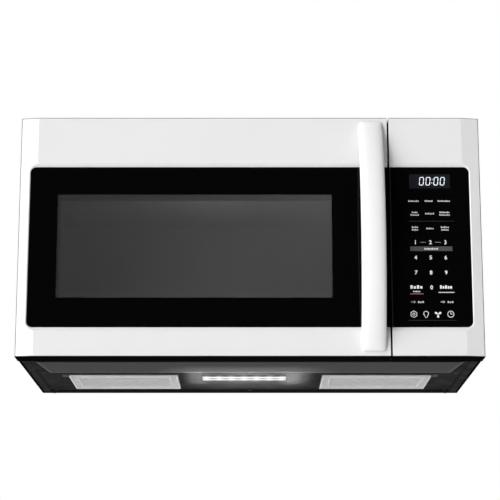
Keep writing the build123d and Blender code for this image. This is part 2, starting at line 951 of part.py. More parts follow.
def raised_panel(inset):
    """The trapezoid in front of the filters; with an inset, the hollow on its upper side."""
    levels = []
    for z in (inset, field_top + 1):
        spread = z - 2 * inset
        front_edge = inner_half - raised_front_side + spread
        rear_edge = inner_half - raised_rear_side + spread
        points = [
            (-front_edge, raised_y[0] - spread, z),
            (front_edge, raised_y[0] - spread, z),
            (rear_edge, raised_y[1] + spread, z),
            (-rear_edge, raised_y[1] + spread, z),
        ]
        levels.append(make_face(Polyline(points, close=True)))
    return loft(levels)


def rear_feet():
    """Two small feet under the rear corners."""
    x = inner_half - foot_inset
    y = -case_sheet - foot_radius - 1
    return [prism(foot_radius, fine_sides, side * x, y, (-foot_drop, 0)) for side in (-1, 1)]


def cabinet_screws():
    """Screw heads: three on the grille's top edge, six round the base's field."""
    heads = []
    top_y = frame_y + grille_depth - top_screw_margin
    for side in (-1, 0, 1):
        x = side * (inner_half - top_screw_inset)
        heads.append(prism(screw_radius, 6, x, top_y, run(cabinet_height, screw_head)))
        for y in (raised_y[1] + base_screw_gap, filter_rear_y + base_screw_gap):
            x = side * (inner_half - base_screw_inset)
            heads.append(prism(screw_radius, 6, x, y, run(field_rise, -screw_head)))
    return heads


def front_frame():
    """The cabinet's front sheet, with the cavity mouth and the latch and hinge openings."""
    y = (frame_y, frame_rear_y)
    sheet = block((-inner_half, inner_half), y, (field_top, front_height))
    sheet -= block(cavity_x, y, (floor_z, roof_z))
    latch_x = around(handle_x, latch_thickness + run_gap)
    for z in latch_heights:
        reach = hook_height / 2 + max(barb_drop, latch_travel) + barb_lead
        sheet -= block(latch_x, y, around(z, reach))
    for arm in (hinge_low, hinge_high):
        x = (-inner_half, hinge_x + hinge_arm_width / 2 + run_gap)
        sheet -= block(x, y, (arm - run_gap, arm + hinge_arm_sheet + run_gap))
    board_x = (panel_left + opening_side[0], inner_half - opening_side[1])
    return sheet - block(board_x, y, (glass_bottom, glass_top))


def oven_cavity():
    """The cavity's five walls, with its coupler hole and waveguide aperture."""
    outer_x = grown(cavity_x, cavity_sheet)
    shell = block(outer_x, (cavity_y[0], -rear_gap), (floor_under, roof_outer))
    shell -= block(cavity_x, cavity_y, (floor_z, roof_z))
    shell -= rod(floor_hole_radius, turntable_x, turntable_y, grown((floor_under, floor_z), 1))
    y = around(magnetron_y, aperture_half[0])
    z = around(magnetron_z, aperture_half[1])
    return shell - block(run(cavity_x[1] - 1, cavity_sheet + 2), y, z)


def waveguide_cover():
    """The mica sheet over the waveguide aperture, inside the cavity."""
    x = run(cavity_x[1], -mica_thickness)
    return block(x, around(magnetron_y, mica_half[0]), around(magnetron_z, mica_half[1]))


def cavity_lamp():
    """Lamp holder and bulb on the cavity's roof."""
    x = cavity_x[1] - cavity_lamp_margin
    y = frame_y + cavity_lamp_margin
    width, depth, height = lamp_holder
    holder = block(around(x, width / 2), around(y, depth / 2), run(roof_outer, height))
    bulb_z = run(roof_outer + height - 1, bulb_height)
    return holder + prism(bulb_radius, coarse_sides, x, y, bulb_z)


def component_tray():
    """The bay's floor over the filter plenum, with flanges to the cavity and the case."""
    y = (frame_rear_y, -case_sheet)
    tray = block((bay_left, inner_half), y, (bay_floor_rise, bay_floor))
    inner_z = (bay_floor_rise, floor_z + tray_flange)
    tray += block(run(bay_left, base_sheet), y, inner_z)
    outer_z = (bay_floor_rise, bay_floor + tray_flange)
    return tray + block(run(inner_half, -base_sheet), y, outer_z)


def top_brackets():
    """Two straps under the roof, each with a nut for a bolt from the cabinet above."""
    straps = []
    z = (roof_under - strap_sheet, roof_under)
    y = (frame_y + grille_depth + strap_front_gap, -strap_rear_margin)
    for x in (-bolt_x, bolt_x):
        strap = block(around(x, strap_half), y, z)
        strap += prism(nut_radius, 6, x, -bolt_rear_margin, run(z[0], -nut_height))
        strap -= rod(bolt_hole_radius, x, -bolt_rear_margin, grown(z, nut_height + 1))
        straps.append(strap)
    return straps


# Vent grille


def slope_height(y):
    """Height of the grille's sloping face at a distance from the front."""
    return front_height + grille_lip + (y - frame_y) * grille_rise


def vent_grille():
    """The louvred grille that closes the top front corner of the cabinet."""
    span = (-inner_half, inner_half)
    rear = frame_y + grille_depth
    slope_end = frame_y + grille_slope_depth
    solid = side_profile(grille_points(0, front_height, rear), span)
    inner_span = grown(span, -grille_wall)
    grille = solid - side_profile(grille_points(grille_wall, 0, rear + 1), inner_span)
    bay = (inner_span[1] - inner_span[0]) / grille_bays
    pitch = (grille_slope_depth - grille_margin) / grille_slots
    slot = Box(bay - grille_slot_inset, grille_slot_width, grille_slope_depth)
    slot = Rot(-grille_slot_tilt, 0, 0) * slot
    slot = slot & Box(bay, grille_slope_depth, 2 * top_reveal)
    for column in range(grille_bays):
        for row in range(grille_slots):
            y = frame_y + grille_margin + (row + 0.5) * pitch
            grille -= Pos(inner_span[0] + (column + 0.5) * bay, y, slope_height(y)) * slot
    for rib in range(1, grille_bays):
        x = around(inner_span[0] + rib * bay, grille_rib_half)
        web = [
            (frame_y + grille_rib_half, front_height),
            (frame_y + grille_rib_half, front_height + grille_lip),
            (slope_end, cabinet_height - grille_rib_half),
            (slope_end, cabinet_height - grille_rib_half - grille_rib_height),
        ]
        grille += side_profile(web, x) & solid
    return grille


def grille_points(wall, bottom, rear):
    """The grille's outline in (y, z): a front lip, the louvred slope and a flat top."""
    return [
        (frame_y + wall, bottom),
        (frame_y + wall, front_height + grille_lip - wall),
        (frame_y + grille_slope_depth, cabinet_height - wall),
        (rear, cabinet_height - wall),
        (rear, bottom),
    ]


def charcoal_filter():
    """The charcoal filter that lies under the louvres."""
    y = frame_y + grille_slope_depth / 2 + charcoal_offset
    z = slope_height(y) - charcoal_drop - charcoal_thickness / 2
    width = 2 * (inner_half - charcoal_side_margin)
    depth = grille_slope_depth - 2 * charcoal_margin
    tilt = math.degrees(math.atan(grille_rise))
    return Pos(0, y, z) * Rot(tilt, 0, 0) * Box(width, depth, charcoal_thickness)


# Cooktop lamp and grease filters


def cooktop_lamp_lens():
    """The clear cover that drops through the base's opening, with its flange above."""
    inset = lamp_flange + run_gap
    lens = block(grown(lamp_x, -inset), grown(lamp_y, -inset), (field_rise - lens_drop, field_top))
    return lens + block(lamp_x, lamp_y, run(field_top, lens_flange_thickness))


def cooktop_lamp_board():
    """The lamp's board with its row of light-emitting diodes facing down."""
    z = field_top + lamp_board_rise
    x = grown(lamp_x, -lamp_board_margin[0])
    y = grown(lamp_y, -lamp_board_margin[1])
    board = block(x, y, run(z, board_thickness))
    count = int((x[1] - x[0] - 2 * led_half) / led_pitch) + 1
    for n in range(count):
        place = sum(lamp_x) / 2 + (n - (count - 1) / 2) * led_pitch
        board += block(around(place, led_half), around(sum(lamp_y) / 2, led_half), run(z, -led_height))
    return board


def cooktop_lamp_housing():
    """The box over the lamp: it holds the board on ledges at its two long sides."""
    low = field_top + lens_flange_thickness
    margin = lamp_housing_margin
    box = block(grown(lamp_x, margin), grown(lamp_y, margin), (low, lamp_top))
    inside = grown(lamp_y, -1)
    box -= block(grown(lamp_x, -1), inside, (low, lamp_top - base_sheet))
    ledge_z = (field_top + lamp_board_rise + board_thickness, lamp_top - base_sheet)
    box += block(grown(lamp_x, -1), run(inside[0], lamp_ledge), ledge_z)
    return box + block(grown(lamp_x, -1), run(inside[1], -lamp_ledge), ledge_z)


def grease_filter(side):
    """A framed aluminium filter; its rounded rear edge is the pivot it tilts down on."""
    centre = side * filter_x
    x = around(centre, filter_width / 2)
    radius = filter_thickness / 2
    z = run(filter_z, filter_thickness)
    pivot_y = filter_rear_y - radius
    frame = block(x, (filter_front_y, pivot_y), z) + rod(radius, x, pivot_y, filter_z + radius)
    field_x = grown(x, -filter_border)
    field_y = (filter_front_y + filter_border, filter_rear_y - filter_rear_border)
    frame -= block(field_x, field_y, run(z[0], filter_pocket))
    frame -= block(field_x, field_y, run(z[1], -filter_pocket))
    tab_x = around(centre + side * filter_width * filter_tab_offset, filter_tab_half)
    tab_y = (filter_front_y + filter_tab_span[0], filter_front_y + filter_tab_span[1])
    return frame + block(tab_x, tab_y, run(filter_z, -filter_tab_drop))


# Turntable


def turntable_motor():
    """The synchronous motor under the cavity floor, with its two ears and its terminals."""
    place = (turntable_x, turntable_y)
    ear_z = run(floor_under, -motor_ear_sheet)
    low = floor_under - turntable_motor_height + 2
    body = prism(turntable_motor_radius, fine_sides, *place, (low, ear_z[0]))
    ears = block(around(place[0], motor_ear_reach), around(place[1], motor_ear_half), ear_z)
    ends_y = (place[1] - terminal_reach, place[1] - turntable_motor_radius + terminal_half)
    middle = (low + floor_under) / 2
    ends = block(around(place[0], terminal_half), ends_y, around(middle, terminal_height / 2))
    bore_z = (floor_under - coupler_shaft_depth - 1, floor_under + 1)
    return body + ears + ends - rod(coupler_shaft_radius + shaft_play, *place, bore_z)


def turntable_coupler():
    """The three-lobed drive hub, with its shaft down into the motor."""
    z = run(floor_z + run_gap, hub_height)
    hub = prism(hub_radius, fine_sides, 0, 0, z)
    for n in range(hub_lobes):
        turn = Rot(0, 0, 90 + 360 / hub_lobes * n)
        hub += turn * block((0, lobe_reach), around(0, lobe_half), z)
    hub += rod(coupler_shaft_radius, 0, 0, (floor_under - coupler_shaft_depth, z[0] + 1))
    return Pos(turntable_x, turntable_y) * hub


def glass_turntable():
    """The glass tray: a flat floor, a flared rim and lugs between the coupler's lobes."""
    flat = tray_radius - tray_flare
    top = tray_z + tray_rim_height
    points = [
        (0, tray_z),
        (flat, tray_z),
        (tray_radius, top - tray_lip_drop),
        (tray_radius, top),
        (tray_radius - tray_lip, top),
        (flat, tray_z + tray_thickness),
        (0, tray_z + tray_thickness),
    ]
    outline = make_face(Polyline([(r, 0, z) for r, z in points], close=True))
    tray = revolve(outline, Axis.Z)
    lug_z = (floor_z + run_gap + lug_clearance, tray_z + 1)
    for n in range(hub_lobes):
        turn = Rot(0, 0, 30 + 360 / hub_lobes * n)
        tray += turn * block((lug_start, lug_end), around(0, lobe_half), lug_z)
    return Pos(turntable_x, turntable_y) * tray


def roller_ring():
    """The ring that keeps the three rollers apart, with a stub axle for each."""
    half = ring_section / 2
    z = around(0, half)
    ring = prism(roller_ring_radius + half, 3 * coarse_sides, 0, 0, z)
    ring -= prism(roller_ring_radius - half, 3 * coarse_sides, 0, 0, z)
    axle_x = (roller_ring_radius, roller_ring_radius + half + roller_width + 2 * run_gap)
    for angle in roller_angles:
        ring += Rot(0, 0, angle) * rod(roller_axle_radius, axle_x, 0, 0)
    return Pos(turntable_x, turntable_y, roller_z) * ring


def roller(angle):
    """A small wheel on its stub axle."""
    x = run(roller_ring_radius + ring_section / 2 + run_gap, roller_width)
    wheel = prism(roller_radius, fine_sides, x, 0, 0)
    wheel -= rod(roller_axle_radius + roller_play, grown(x, 1), 0, 0)
    return Pos(turntable_x, turntable_y, roller_z) * Rot(0, 0, angle) * wheel


# Microwave power


def waveguide():
    """The duct from the magnetron's antenna to the cavity's aperture."""
    x = run(bay_left, guide_length)
    y = around(magnetron_y, guide_half[0])
    z = around(magnetron_z, guide_half[1])
    guide = block(x, y, z)
    guide -= block((x[0], x[1] - cavity_sheet), grown(y, -cavity_sheet), grown(z, -cavity_sheet))
    hole_x = (x[1] - cavity_sheet - 1, x[1] + 1)
    return guide - prism(antenna_hole_radius, coarse_sides, hole_x, magnetron_y, magnetron_z)


def magnetron():
    """Antenna, mounting plate, yoke with its cooling fins, and filter box."""
    start = bay_left + guide_length
    half_y, half_z = yoke_half
    y = around(0, half_y)
    back = start + mount_plate + yoke_length
    body = prism(antenna_radius, coarse_sides, (start - antenna_length, start + 1), 0, 0)
    body += block(run(start, mount_plate), around(0, mount_plate_half), around(0, mount_plate_half))
    for side in (-1, 1):
        body += block((start + 1, back), y, run(side * half_z, -side * mount_plate))
    body += block(run(back, -mount_plate), y, around(0, half_z))
    body += block((start + 1, back), around(0, anode_half), around(0, anode_half))
    for n in range(fin_count):
        fin_x = run(start + fin_start + n * fin_pitch, fin_sheet)
        body += block(fin_x, y, around(0, half_z - mount_plate))
    length, box_y, box_z = filter_box
    body += block(run(back, length), around(0, box_y), around(0, box_z))
    return Pos(0, magnetron_y, magnetron_z) * body


def transformer_core():
    """The laminated core with its feet on the bay's floor."""
    half_x, half_y = core_half
    y = around(transformer_y, half_y)
    foot = block(around(fan_x, core_foot_half), y, run(bay_floor, core_foot_sheet))
    core = block(around(fan_x, half_x), y, run(bay_floor + core_foot_sheet, core_height))
    for side in (-1, 1):
        window_x = around(fan_x + side * core_window_offset, core_window_half[0])
        core -= block(window_x, grown(y, 1), around(core_middle(), core_window_half[1]))
    return foot + core


def core_middle():
    """Height of the transformer's middle."""
    return bay_floor + core_foot_sheet + core_height / 2


def transformer_windings():
    """The coils that fill the core's windows and stand out in front and behind."""
    half_x, half_z = core_window_half
    outer = core_window_offset + half_x - run_gap
    x = around(fan_x, outer)
    z = around(core_middle(), half_z - run_gap)
    coil = block(x, around(transformer_y, coil_half_depth), z)
    coil = chamfer(coil.edges().filter_by(Axis.Z), coil_corner)
    inner = around(fan_x, core_window_offset - half_x)
    return coil - block(inner, around(transformer_y, core_half[1]), grown(z, 1))


def oval_bar(radius, y):
    """An oval bar along Y, as the capacitor's can is."""
    flat = capacitor_half_flat
    bar = block(around(capacitor_x, flat), y, around(capacitor_z, radius))
    for x in around(capacitor_x, flat):
        bar += prism(radius, coarse_sides, x, y, capacitor_z)
    return bar


def hv_capacitor():
    """The oval capacitor lying along the bay's floor, with its two terminals."""
    can = oval_bar(capacitor_radius, capacitor_span)
    half_width, reach, half_sheet = terminal_blade
    y = (capacitor_span[1] - 1, capacitor_span[1] + reach)
    for x in around(capacitor_x, terminal_pitch):
        can += block(around(x, half_width), y, around(capacitor_z, half_sheet))
    return can


def capacitor_clamp():
    """The strap over the capacitor, with a foot on the bay's floor each side."""
    y = around(clamp_y, clamp_half)
    inner = capacitor_radius + run_gap
    half = capacitor_half_flat + inner + clamp_sheet
    upper = block(around(capacitor_x, half), y, run(capacitor_z, 2 * capacitor_radius))
    strap = (oval_bar(inner + clamp_sheet, y) - oval_bar(inner, grown(y, 1))) & upper
    for side in (-1, 1):
        leg_x = run(capacitor_x + side * half, -side * clamp_sheet)
        foot_x = run(capacitor_x + side * half, side * clamp_sheet)
        strap += block(leg_x, y, (bay_floor, capacitor_z + 1))
        strap += block(foot_x, y, run(bay_floor, clamp_sheet))
    return strap


def hv_diode():
    """The rectifier on its bracket by the capacitor."""
    x = bay_left + diode_offset
    half_x, half_y, height = diode_post
    post = block(around(x, half_x), around(diode_y, half_y), run(bay_floor, height))
    return post + prism(diode_radius, coarse_sides, around(x, diode_half), diode_y, bay_floor + height)


def noise_filter_board():
    """The supply filter: a board on four stand-offs, with its choke and capacitor."""
    x = around(fan_x, supply_board_half)
    z = (cabinet_height - supply_board_bottom, cabinet_height - supply_board_top)
    rear = -case_sheet - standoff_height
    board = block(x, run(rear, -board_thickness), z)
    for a in grown(x, -standoff_inset):
        for b in grown(z, -standoff_inset):
            y = (rear - board_thickness / 2, -case_sheet)
            board += block(around(a, standoff_half), y, around(b, standoff_half))
    for side, part in ((-1, supply_choke), (1, supply_capacitor)):
        offset, half, depth = part
        y = run(rear - board_thickness / 2, -depth)
        board += block(around(fan_x + side * offset, half), y, around(sum(z) / 2, half))
    return board


# Air


def cooling_fan():
    """Five pitched blades on a hub, with the shaft back into the motor."""
    fan = prism(fan_hub_radius, 2 * fan_blades, 0, around(0, fan_half_depth), 0)
    reach = fan_radius - fan_blade_root / 2
    chord = around(0, fan_blade_chord / 2)
    blade = block(chord, around(0, fan_blade_sheet / 2), (fan_blade_root, reach))
    for n in range(fan_blades):
        fan += Rot(0, 360 / fan_blades * n, 0) * Rot(0, 0, fan_blade_pitch) * blade
    fan += rod(fan_shaft_radius, 0, (-fan_half_depth, fan_shaft_length), 0)
    return Pos(fan_x, fan_y, magnetron_z) * fan


def cooling_fan_motor():
    """A shaded-pole motor: laminated frame, bearing housings and coil."""
    y = run(fan_motor_front, fan_motor_depth)
    bearing_y = grown(y, fan_bearing_reach)
    frame = block(around(0, fan_motor_half), y, (-fan_motor_bottom, fan_motor_top))
    frame += block(around(0, fan_bearing_half), bearing_y, around(0, fan_bearing_half))
    coil_z = run(1 - fan_motor_bottom, fan_coil_height)
    frame += block(around(0, fan_coil_half), grown(y, fan_coil_reach), coil_z)
    bore_y = (bearing_y[0] - 1, fan_shaft_length + shaft_play * fan_shaft_length)
    frame -= rod(fan_shaft_radius + shaft_play, 0, bore_y, 0)
    return Pos(fan_x, fan_y, magnetron_z) * frame


def cooling_fan_bracket():
    """The bracket that holds the fan motor's sides to the rear panel."""
    z = around(magnetron_z - fan_bracket_drop, fan_bracket_half)
    foot_y = run(-case_sheet, -fan_bracket_sheet)
    arm_y = (fan_y + fan_motor_front, -case_sheet)
    bracket = block(around(fan_x, fan_motor_half + fan_bracket_foot), foot_y, z)
    for side in (-1, 1):
        arm_x = run(fan_x + side * fan_motor_half, side * fan_bracket_sheet)
        bracket += block(arm_x, arm_y, z)
    return bracket


def blower_housing():
    """Two scrolls with upward outlets, joined by the motor's cradle."""
    x = around(0, motor_bay / 2 + 1)
    foot_z = run(roof_outer, housing_foot)
    housing = block(x, around(blower_y, housing_foot_half), foot_z)
    for side in (-1, 1):
        housing += blower_scroll(side)
    top = blower_z - blower_motor_radius - run_gap
    cradle_y = around(blower_y, cradle_depth_half)
    return housing + block(around(0, cradle_half), cradle_y, (foot_z[0] + 1, top))


def blower_scroll(side):
    """One hollow scroll, with its side inlet and the hole for the shaft."""
    x = tuple(sorted((side * motor_bay / 2, side * duct_width / 2)))
    top = roof_under - run_gap
    scroll = prism(volute_radius, fine_sides, x, blower_y, blower_z)
    scroll += block(x, duct_y, (blower_z, top))
    inside = grown(x, -scroll_wall)
    core = prism(volute_radius - scroll_wall, fine_sides, inside, blower_y, blower_z)
    core += block(inside, grown(duct_y, -scroll_wall), (blower_z, top + 1))
    inlet_x = around(side * duct_width / 2, 2 * scroll_wall)
    inlet = prism(wheel_radius - blade_depth, fine_sides, inlet_x, blower_y, blower_z)
    hole_x = around(side * motor_bay / 2, 2 * scroll_wall)
    hole = block(hole_x, around(blower_y, shaft_hole_radius), around(blower_z, shaft_hole_radius))
    return scroll - core - inlet - hole


def blower_motor():
    """The double-shafted motor between the two scrolls."""
    half = motor_bay / 2 - blower_motor_gap
    motor = prism(blower_motor_radius, fine_sides, around(0, half), blower_y, blower_z)
    bore = rod(blower_shaft_radius + shaft_play, around(0, half + 1), blower_y, blower_z)
    return motor - bore


def blower_rotor():
    """One shaft with a bladed wheel at each end."""
    half = motor_bay / 2 + wheel_gap + wheel_hub_length / 2
    rotor = rod(blower_shaft_radius, around(0, half), 0, 0)
    for side in (-1, 1):
        rotor += blower_wheel(side)
    return Pos(0, blower_y, blower_z) * rotor


def blower_wheel(side):
    """A back disc with its hub, a front ring and the blades between them."""
    back = motor_bay / 2 + wheel_gap
    front = duct_width / 2 - wheel_gap
    sides = 2 * blade_count
    wheel = prism(wheel_radius, sides, 0, 0, run(back, wheel_disc))
    wheel += prism(wheel_hub_radius, sides, 0, 0, run(back, wheel_hub_length))
    rim_z = run(front, -wheel_ring)
    rim = prism(wheel_radius, sides, 0, 0, rim_z)
    wheel += rim - prism(wheel_radius - blade_depth, sides, 0, 0, grown(rim_z, 1))
    middle = wheel_radius - blade_depth / 2
    flat = block(
        around(0, blade_sheet / 2),
        around(0, blade_depth / 2 - blade_sheet / 2),
        (back + 1, front - wheel_ring + 1),
    )
    blade = Pos(0, middle, 0) * Rot(0, 0, blade_angle) * flat
    for n in range(blade_count):
        wheel += Rot(0, 0, 360 / blade_count * (n + 0.5)) * blade
    return Rot(0, side * 90, 0) * wheel


# Interlock


def interlock_bracket():
    """The upright beside the hooks, with a strike ledge under each."""
    x = run(bracket_x, bracket_sheet)
    z = grown(latch_heights, bracket_margin)
    upright = block(x, (frame_rear_y, switch_y[1] + 2), z)
    upright += block(run(x[0], bracket_flange), run(frame_rear_y, bracket_sheet), z)
    strike_x = (handle_x - latch_thickness / 2 - strike_overlap, x[0] + 1)
    for height in latch_heights:
        top = height - hook_height / 2 - run_gap
        strike = block(strike_x, run(frame_rear_y, barb_ledge), run(top, -strike_height))
        upper_front = strike.edges().group_by(Axis.Z)[-1].sort_by(Axis.Y)[0]
        upright += chamfer(upper_front, barb_lead)
    return upright


def interlock_switches():
    """One micro switch behind each hook, seated on the upright."""
    switches = []
    half = plunger_half + plunger_play
    bore_y = run(switch_y[0] - 1, plunger_bore_depth + 1)
    for z in latch_heights:
        body = block(run(bracket_x, -switch_width), switch_y, around(z, switch_half_height))
        switches.append(body - block(around(handle_x, half), bore_y, around(z, half)))
    return switches


def switch_plunger(z):
    """A plunger that stands just clear of its hook's tip."""
    tip = hook_tip_y + run_gap
    end = switch_y[0] + plunger_bore_depth - plunger_travel - run_gap
    return block(around(handle_x, plunger_half), (tip, end), around(z, plunger_half))


nodes = {
    "outer_case": outer_case(),
    "rear_panel": rear_panel(),
    "base_plate": base_plate(),
    "front_frame": front_frame(),
    "oven_cavity": oven_cavity(),
    "component_tray": component_tray(),
    "top_brackets": top_brackets(),
    "vent_grille": vent_grille(),
    "charcoal_filter": charcoal_filter(),
    "cabinet_screws": cabinet_screws(),
    "rear_feet": rear_feet(),
    "cord_bushing": cord_bushing(),
    "cooktop_lamp_lens": cooktop_lamp_lens(),
    "cooktop_lamp_board": cooktop_lamp_board(),
    "cooktop_lamp_housing": cooktop_lamp_housing(),
    "grease_filter_left": grease_filter(-1),
    "grease_filter_right": grease_filter(1),
    "waveguide_cover": waveguide_cover(),
    "cavity_lamp": cavity_lamp(),
    "turntable_motor": turntable_motor(),
    "turntable_coupler": turntable_coupler(),
    "glass_turntable": glass_turntable(),
    "roller_ring": roller_ring(),
    "magnetron": magnetron(),
    "waveguide": waveguide(),
    "transformer_core": transformer_core(),
    "transformer_windings": transformer_windings(),
    "hv_capacitor": hv_capacitor(),
    "capacitor_clamp": capacitor_clamp(),
    "hv_diode": hv_diode(),
    "noise_filter_board": noise_filter_board(),
    "cooling_fan": cooling_fan(),
    "cooling_fan_motor": cooling_fan_motor(),
    "cooling_fan_bracket": cooling_fan_bracket(),
    "blower_housing": blower_housing(),
    "blower_motor": blower_motor(),
    "blower_rotor": blower_rotor(),
    "control_panel_frame": control_panel_frame(),
    "control_glass": glass_sheet((panel_left, glass_right)),
    "control_board": control_board(),
    "display_module": display_module(),
    "interlock_bracket": interlock_bracket(),
    "interlock_switches": interlock_switches(),
    "plunger_lower": switch_plunger(latch_heights[0]),
    "plunger_upper": switch_plunger(latch_heights[1]),
    "hinge_brackets": hinge_brackets(),
    "door_frame": door_frame(),
    "door_glass": glass_sheet((glass_left, door_right)),
    "door_choke_frame": door_choke_frame(),
    "door_mesh": door_mesh(),
    "door_inner_window": door_inner_window(),
    "choke_cover": choke_cover(),
    "door_handle": door_handle(),
    "handle_screws": handle_screws(),
    "latch_hooks": latch_hooks(),
    "latch_spring": latch_spring(),
}
for index, angle in enumerate(roller_angles):
    nodes[f"roller_{index + 1}"] = roller(angle)

os.makedirs("parts", exist_ok=True)
for name, shape in nodes.items():
    solids = shape if isinstance(shape, list) else [shape]
    pieces = [solid for part in solids for solid in part.solids()]
    export_step(pieces[0] if len(pieces) == 1 else Compound(pieces), f"parts/{name}.step")
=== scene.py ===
import json
import math

import bmesh
import bpy
import numpy as np
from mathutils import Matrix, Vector


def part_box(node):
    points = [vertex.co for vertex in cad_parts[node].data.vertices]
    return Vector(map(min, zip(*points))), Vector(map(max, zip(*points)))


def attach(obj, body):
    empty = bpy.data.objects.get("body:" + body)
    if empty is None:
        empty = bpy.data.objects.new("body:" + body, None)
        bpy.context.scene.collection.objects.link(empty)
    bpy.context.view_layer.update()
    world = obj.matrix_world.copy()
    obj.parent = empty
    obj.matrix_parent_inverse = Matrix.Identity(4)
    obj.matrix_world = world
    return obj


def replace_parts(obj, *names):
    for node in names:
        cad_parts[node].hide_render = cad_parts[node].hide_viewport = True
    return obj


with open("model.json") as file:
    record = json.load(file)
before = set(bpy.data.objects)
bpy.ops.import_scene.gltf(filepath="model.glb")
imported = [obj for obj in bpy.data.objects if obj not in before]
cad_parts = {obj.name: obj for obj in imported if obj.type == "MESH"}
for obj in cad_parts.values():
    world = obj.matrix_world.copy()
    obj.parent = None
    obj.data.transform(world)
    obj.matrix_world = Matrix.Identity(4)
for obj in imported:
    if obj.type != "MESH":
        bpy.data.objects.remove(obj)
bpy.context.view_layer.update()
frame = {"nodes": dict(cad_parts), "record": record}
record = frame["record"]
slotOf = {part["node"]: part["material_slot"] for part in record["subparts"]}
bodyOf = {node: body for body, nodes in record["behaviour"]["bodies"].items() for node in nodes}
mm = 0.001
print("frame loaded:", len(frame["nodes"]), "nodes")


# Meshes

def linked(name, data):
    # a new object in the scene
    made = bpy.data.objects.new(name, data)
    bpy.context.scene.collection.objects.link(made)
    return made


def addPiece(mesh, body, material):
    # a finished mesh as a piece of the same name, which rides on a body
    piece = linked(mesh.name, mesh)
    mesh.materials.clear()
    mesh.materials.append(material)
    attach(piece, body)
    return piece


def meshOf(name, points, faces):
    mesh = bpy.data.meshes.new(name)
    mesh.from_pydata(np.asarray(points, float).tolist(), [], faces)
    mesh.update()
    return mesh


def pointsOf(mesh):
    # the mesh's points, a row of x, y and z for each
    points = np.empty(len(mesh.vertices) * 3)
    mesh.vertices.foreach_get("co", points)
    return points.reshape(-1, 3)


def gridFaces(rows, columns, aroundRows, aroundColumns, start=0):
    # quads between neighbours of a rows by columns grid, joined round where asked
    r = np.arange(rows if aroundRows else rows - 1)
    c = np.arange(columns if aroundColumns else columns - 1)
    r, c = [a.ravel() for a in np.meshgrid(r, c, indexing="ij")]
    nextR = (r + 1) % rows
    nextC = (c + 1) % columns
    corners = (r * columns + c, nextR * columns + c, nextR * columns + nextC, r * columns + nextC)
    return (np.stack(corners, 1) + start).tolist()


def loftedMesh(name, rings, smoothAngle=30):
    # closed rings of as many points each, joined in order, with a flat cap at each end
    rings = np.asarray(rings, float)
    count, size, _ = rings.shape
    faces = gridFaces(count, size, False, True)
    faces.append(list(range(size)))
    faces.append([(count - 1) * size + k for k in range(size)][::-1])
    return outward(meshOf(name, rings.reshape(-1, 3), faces), smoothAngle)


def outward(mesh, smoothAngle=30):
    # turns the faces outwards, and shades smooth except across edges sharper than the angle
    work = bmesh.new()
    work.from_mesh(mesh)
    bmesh.ops.recalc_face_normals(work, faces=work.faces)
    markSmooth(work, smoothAngle)
    work.to_mesh(mesh)
    work.free()
    return mesh


def markSmooth(work, smoothAngle, largeFace=None):
    # an edge stays crisp where it is sharp, and at any bend beside a face over the size in mm2
    limit = math.radians(smoothAngle)
    bend = math.radians(1)
    for face in work.faces:
        face.smooth = True
    for edge in work.edges:
        turn = edge.calc_face_angle(0) if len(edge.link_faces) == 2 else math.pi
        edge.smooth = turn < limit
        if largeFace and turn > bend:
            if max(face.calc_area() for face in edge.link_faces) > largeFace * mm * mm:
                edge.smooth = False


def joined(name, meshes):
    # one mesh from several
    work = bmesh.new()
    for mesh in meshes:
        work.from_mesh(mesh)
        bpy.data.meshes.remove(mesh)
    mesh = bpy.data.meshes.new(name)
    work.to_mesh(mesh)
    work.free()
    return mesh


def ringAt(outline, place, axis="z"):
    # a flat outline as a ring of points: at a place along z, or along y for an outline in x and z
    flat = np.full(len(outline), place)
    if axis == "y":
        return np.column_stack([outline[:, 0], flat, outline[:, 1]])
    return np.column_stack([outline, flat])


def prismMesh(name, outline, ends, axis="z"):
    # a flat outline carried straight from one end to the other
    return loftedMesh(name, [ringAt(outline, place, axis) for place in ends])


def boxMesh(name, low, high):
    # a plain box: its outline in x and z carried along y
    outline = np.array([[high[0], high[2]], [low[0], high[2]], [low[0], low[2]], [high[0], low[2]]])
    return prismMesh(name, outline, (low[1], high[1]), "y")


def roundedOutline(x0, x1, z0, z1, radius, corners):
    # a rectangle whose corners are quarter circles: each corner's centre plus radius times (cos, sin)
    turn = np.linspace(0, math.pi / 2, corners + 1)
    left, right, lower, upper = x0 + radius, x1 - radius, z0 + radius, z1 - radius
    arcs = []
    for quarter, (cx, cz) in enumerate(((right, upper), (left, upper), (left, lower), (right, lower))):
        a = turn + quarter * math.pi / 2
        arcs.append(np.stack([cx + radius * np.cos(a), cz + radius * np.sin(a)], 1))
    return np.concatenate(arcs)


def revolvedMesh(name, profile, centre, steps):
    # each (radius, height) of the profile goes round z as radius times (cos, sin); the ends are capped
    profile = np.asarray(profile, float)
    a = np.arange(steps) * 2 * math.pi / steps
    rings = np.empty((len(profile), steps, 3))
    rings[:, :, 0] = profile[:, None, 0] * np.cos(a)
    rings[:, :, 1] = profile[:, None, 0] * np.sin(a)
    rings[:, :, 2] = profile[:, None, 1]
    return loftedMesh(name, rings + np.array(centre))


# Shader nodes: the owner is a material or the world

def node(owner, kind, inputs=None, **settings):
    made = owner.node_tree.nodes.new(kind)
    for key, value in settings.items():
        setattr(made, key, value)
    for key, value in (inputs or {}).items():
        connect(owner, value, made.inputs[key])
    return made


def connect(owner, value, socket):
    # a socket takes another node's output or a plain value
    if isinstance(value, bpy.types.NodeSocket):
        owner.node_tree.links.new(value, socket)
    else:
        socket.default_value = value


def maths(owner, operation, *values):
    return node(owner, "ShaderNodeMath", dict(enumerate(values)), operation=operation).outputs[0]


def plus(owner, a, b):
    return maths(owner, "ADD", a, b)


def minus(owner, a, b):
    return maths(owner, "SUBTRACT", a, b)


def times(owner, a, b):
    return maths(owner, "MULTIPLY", a, b)


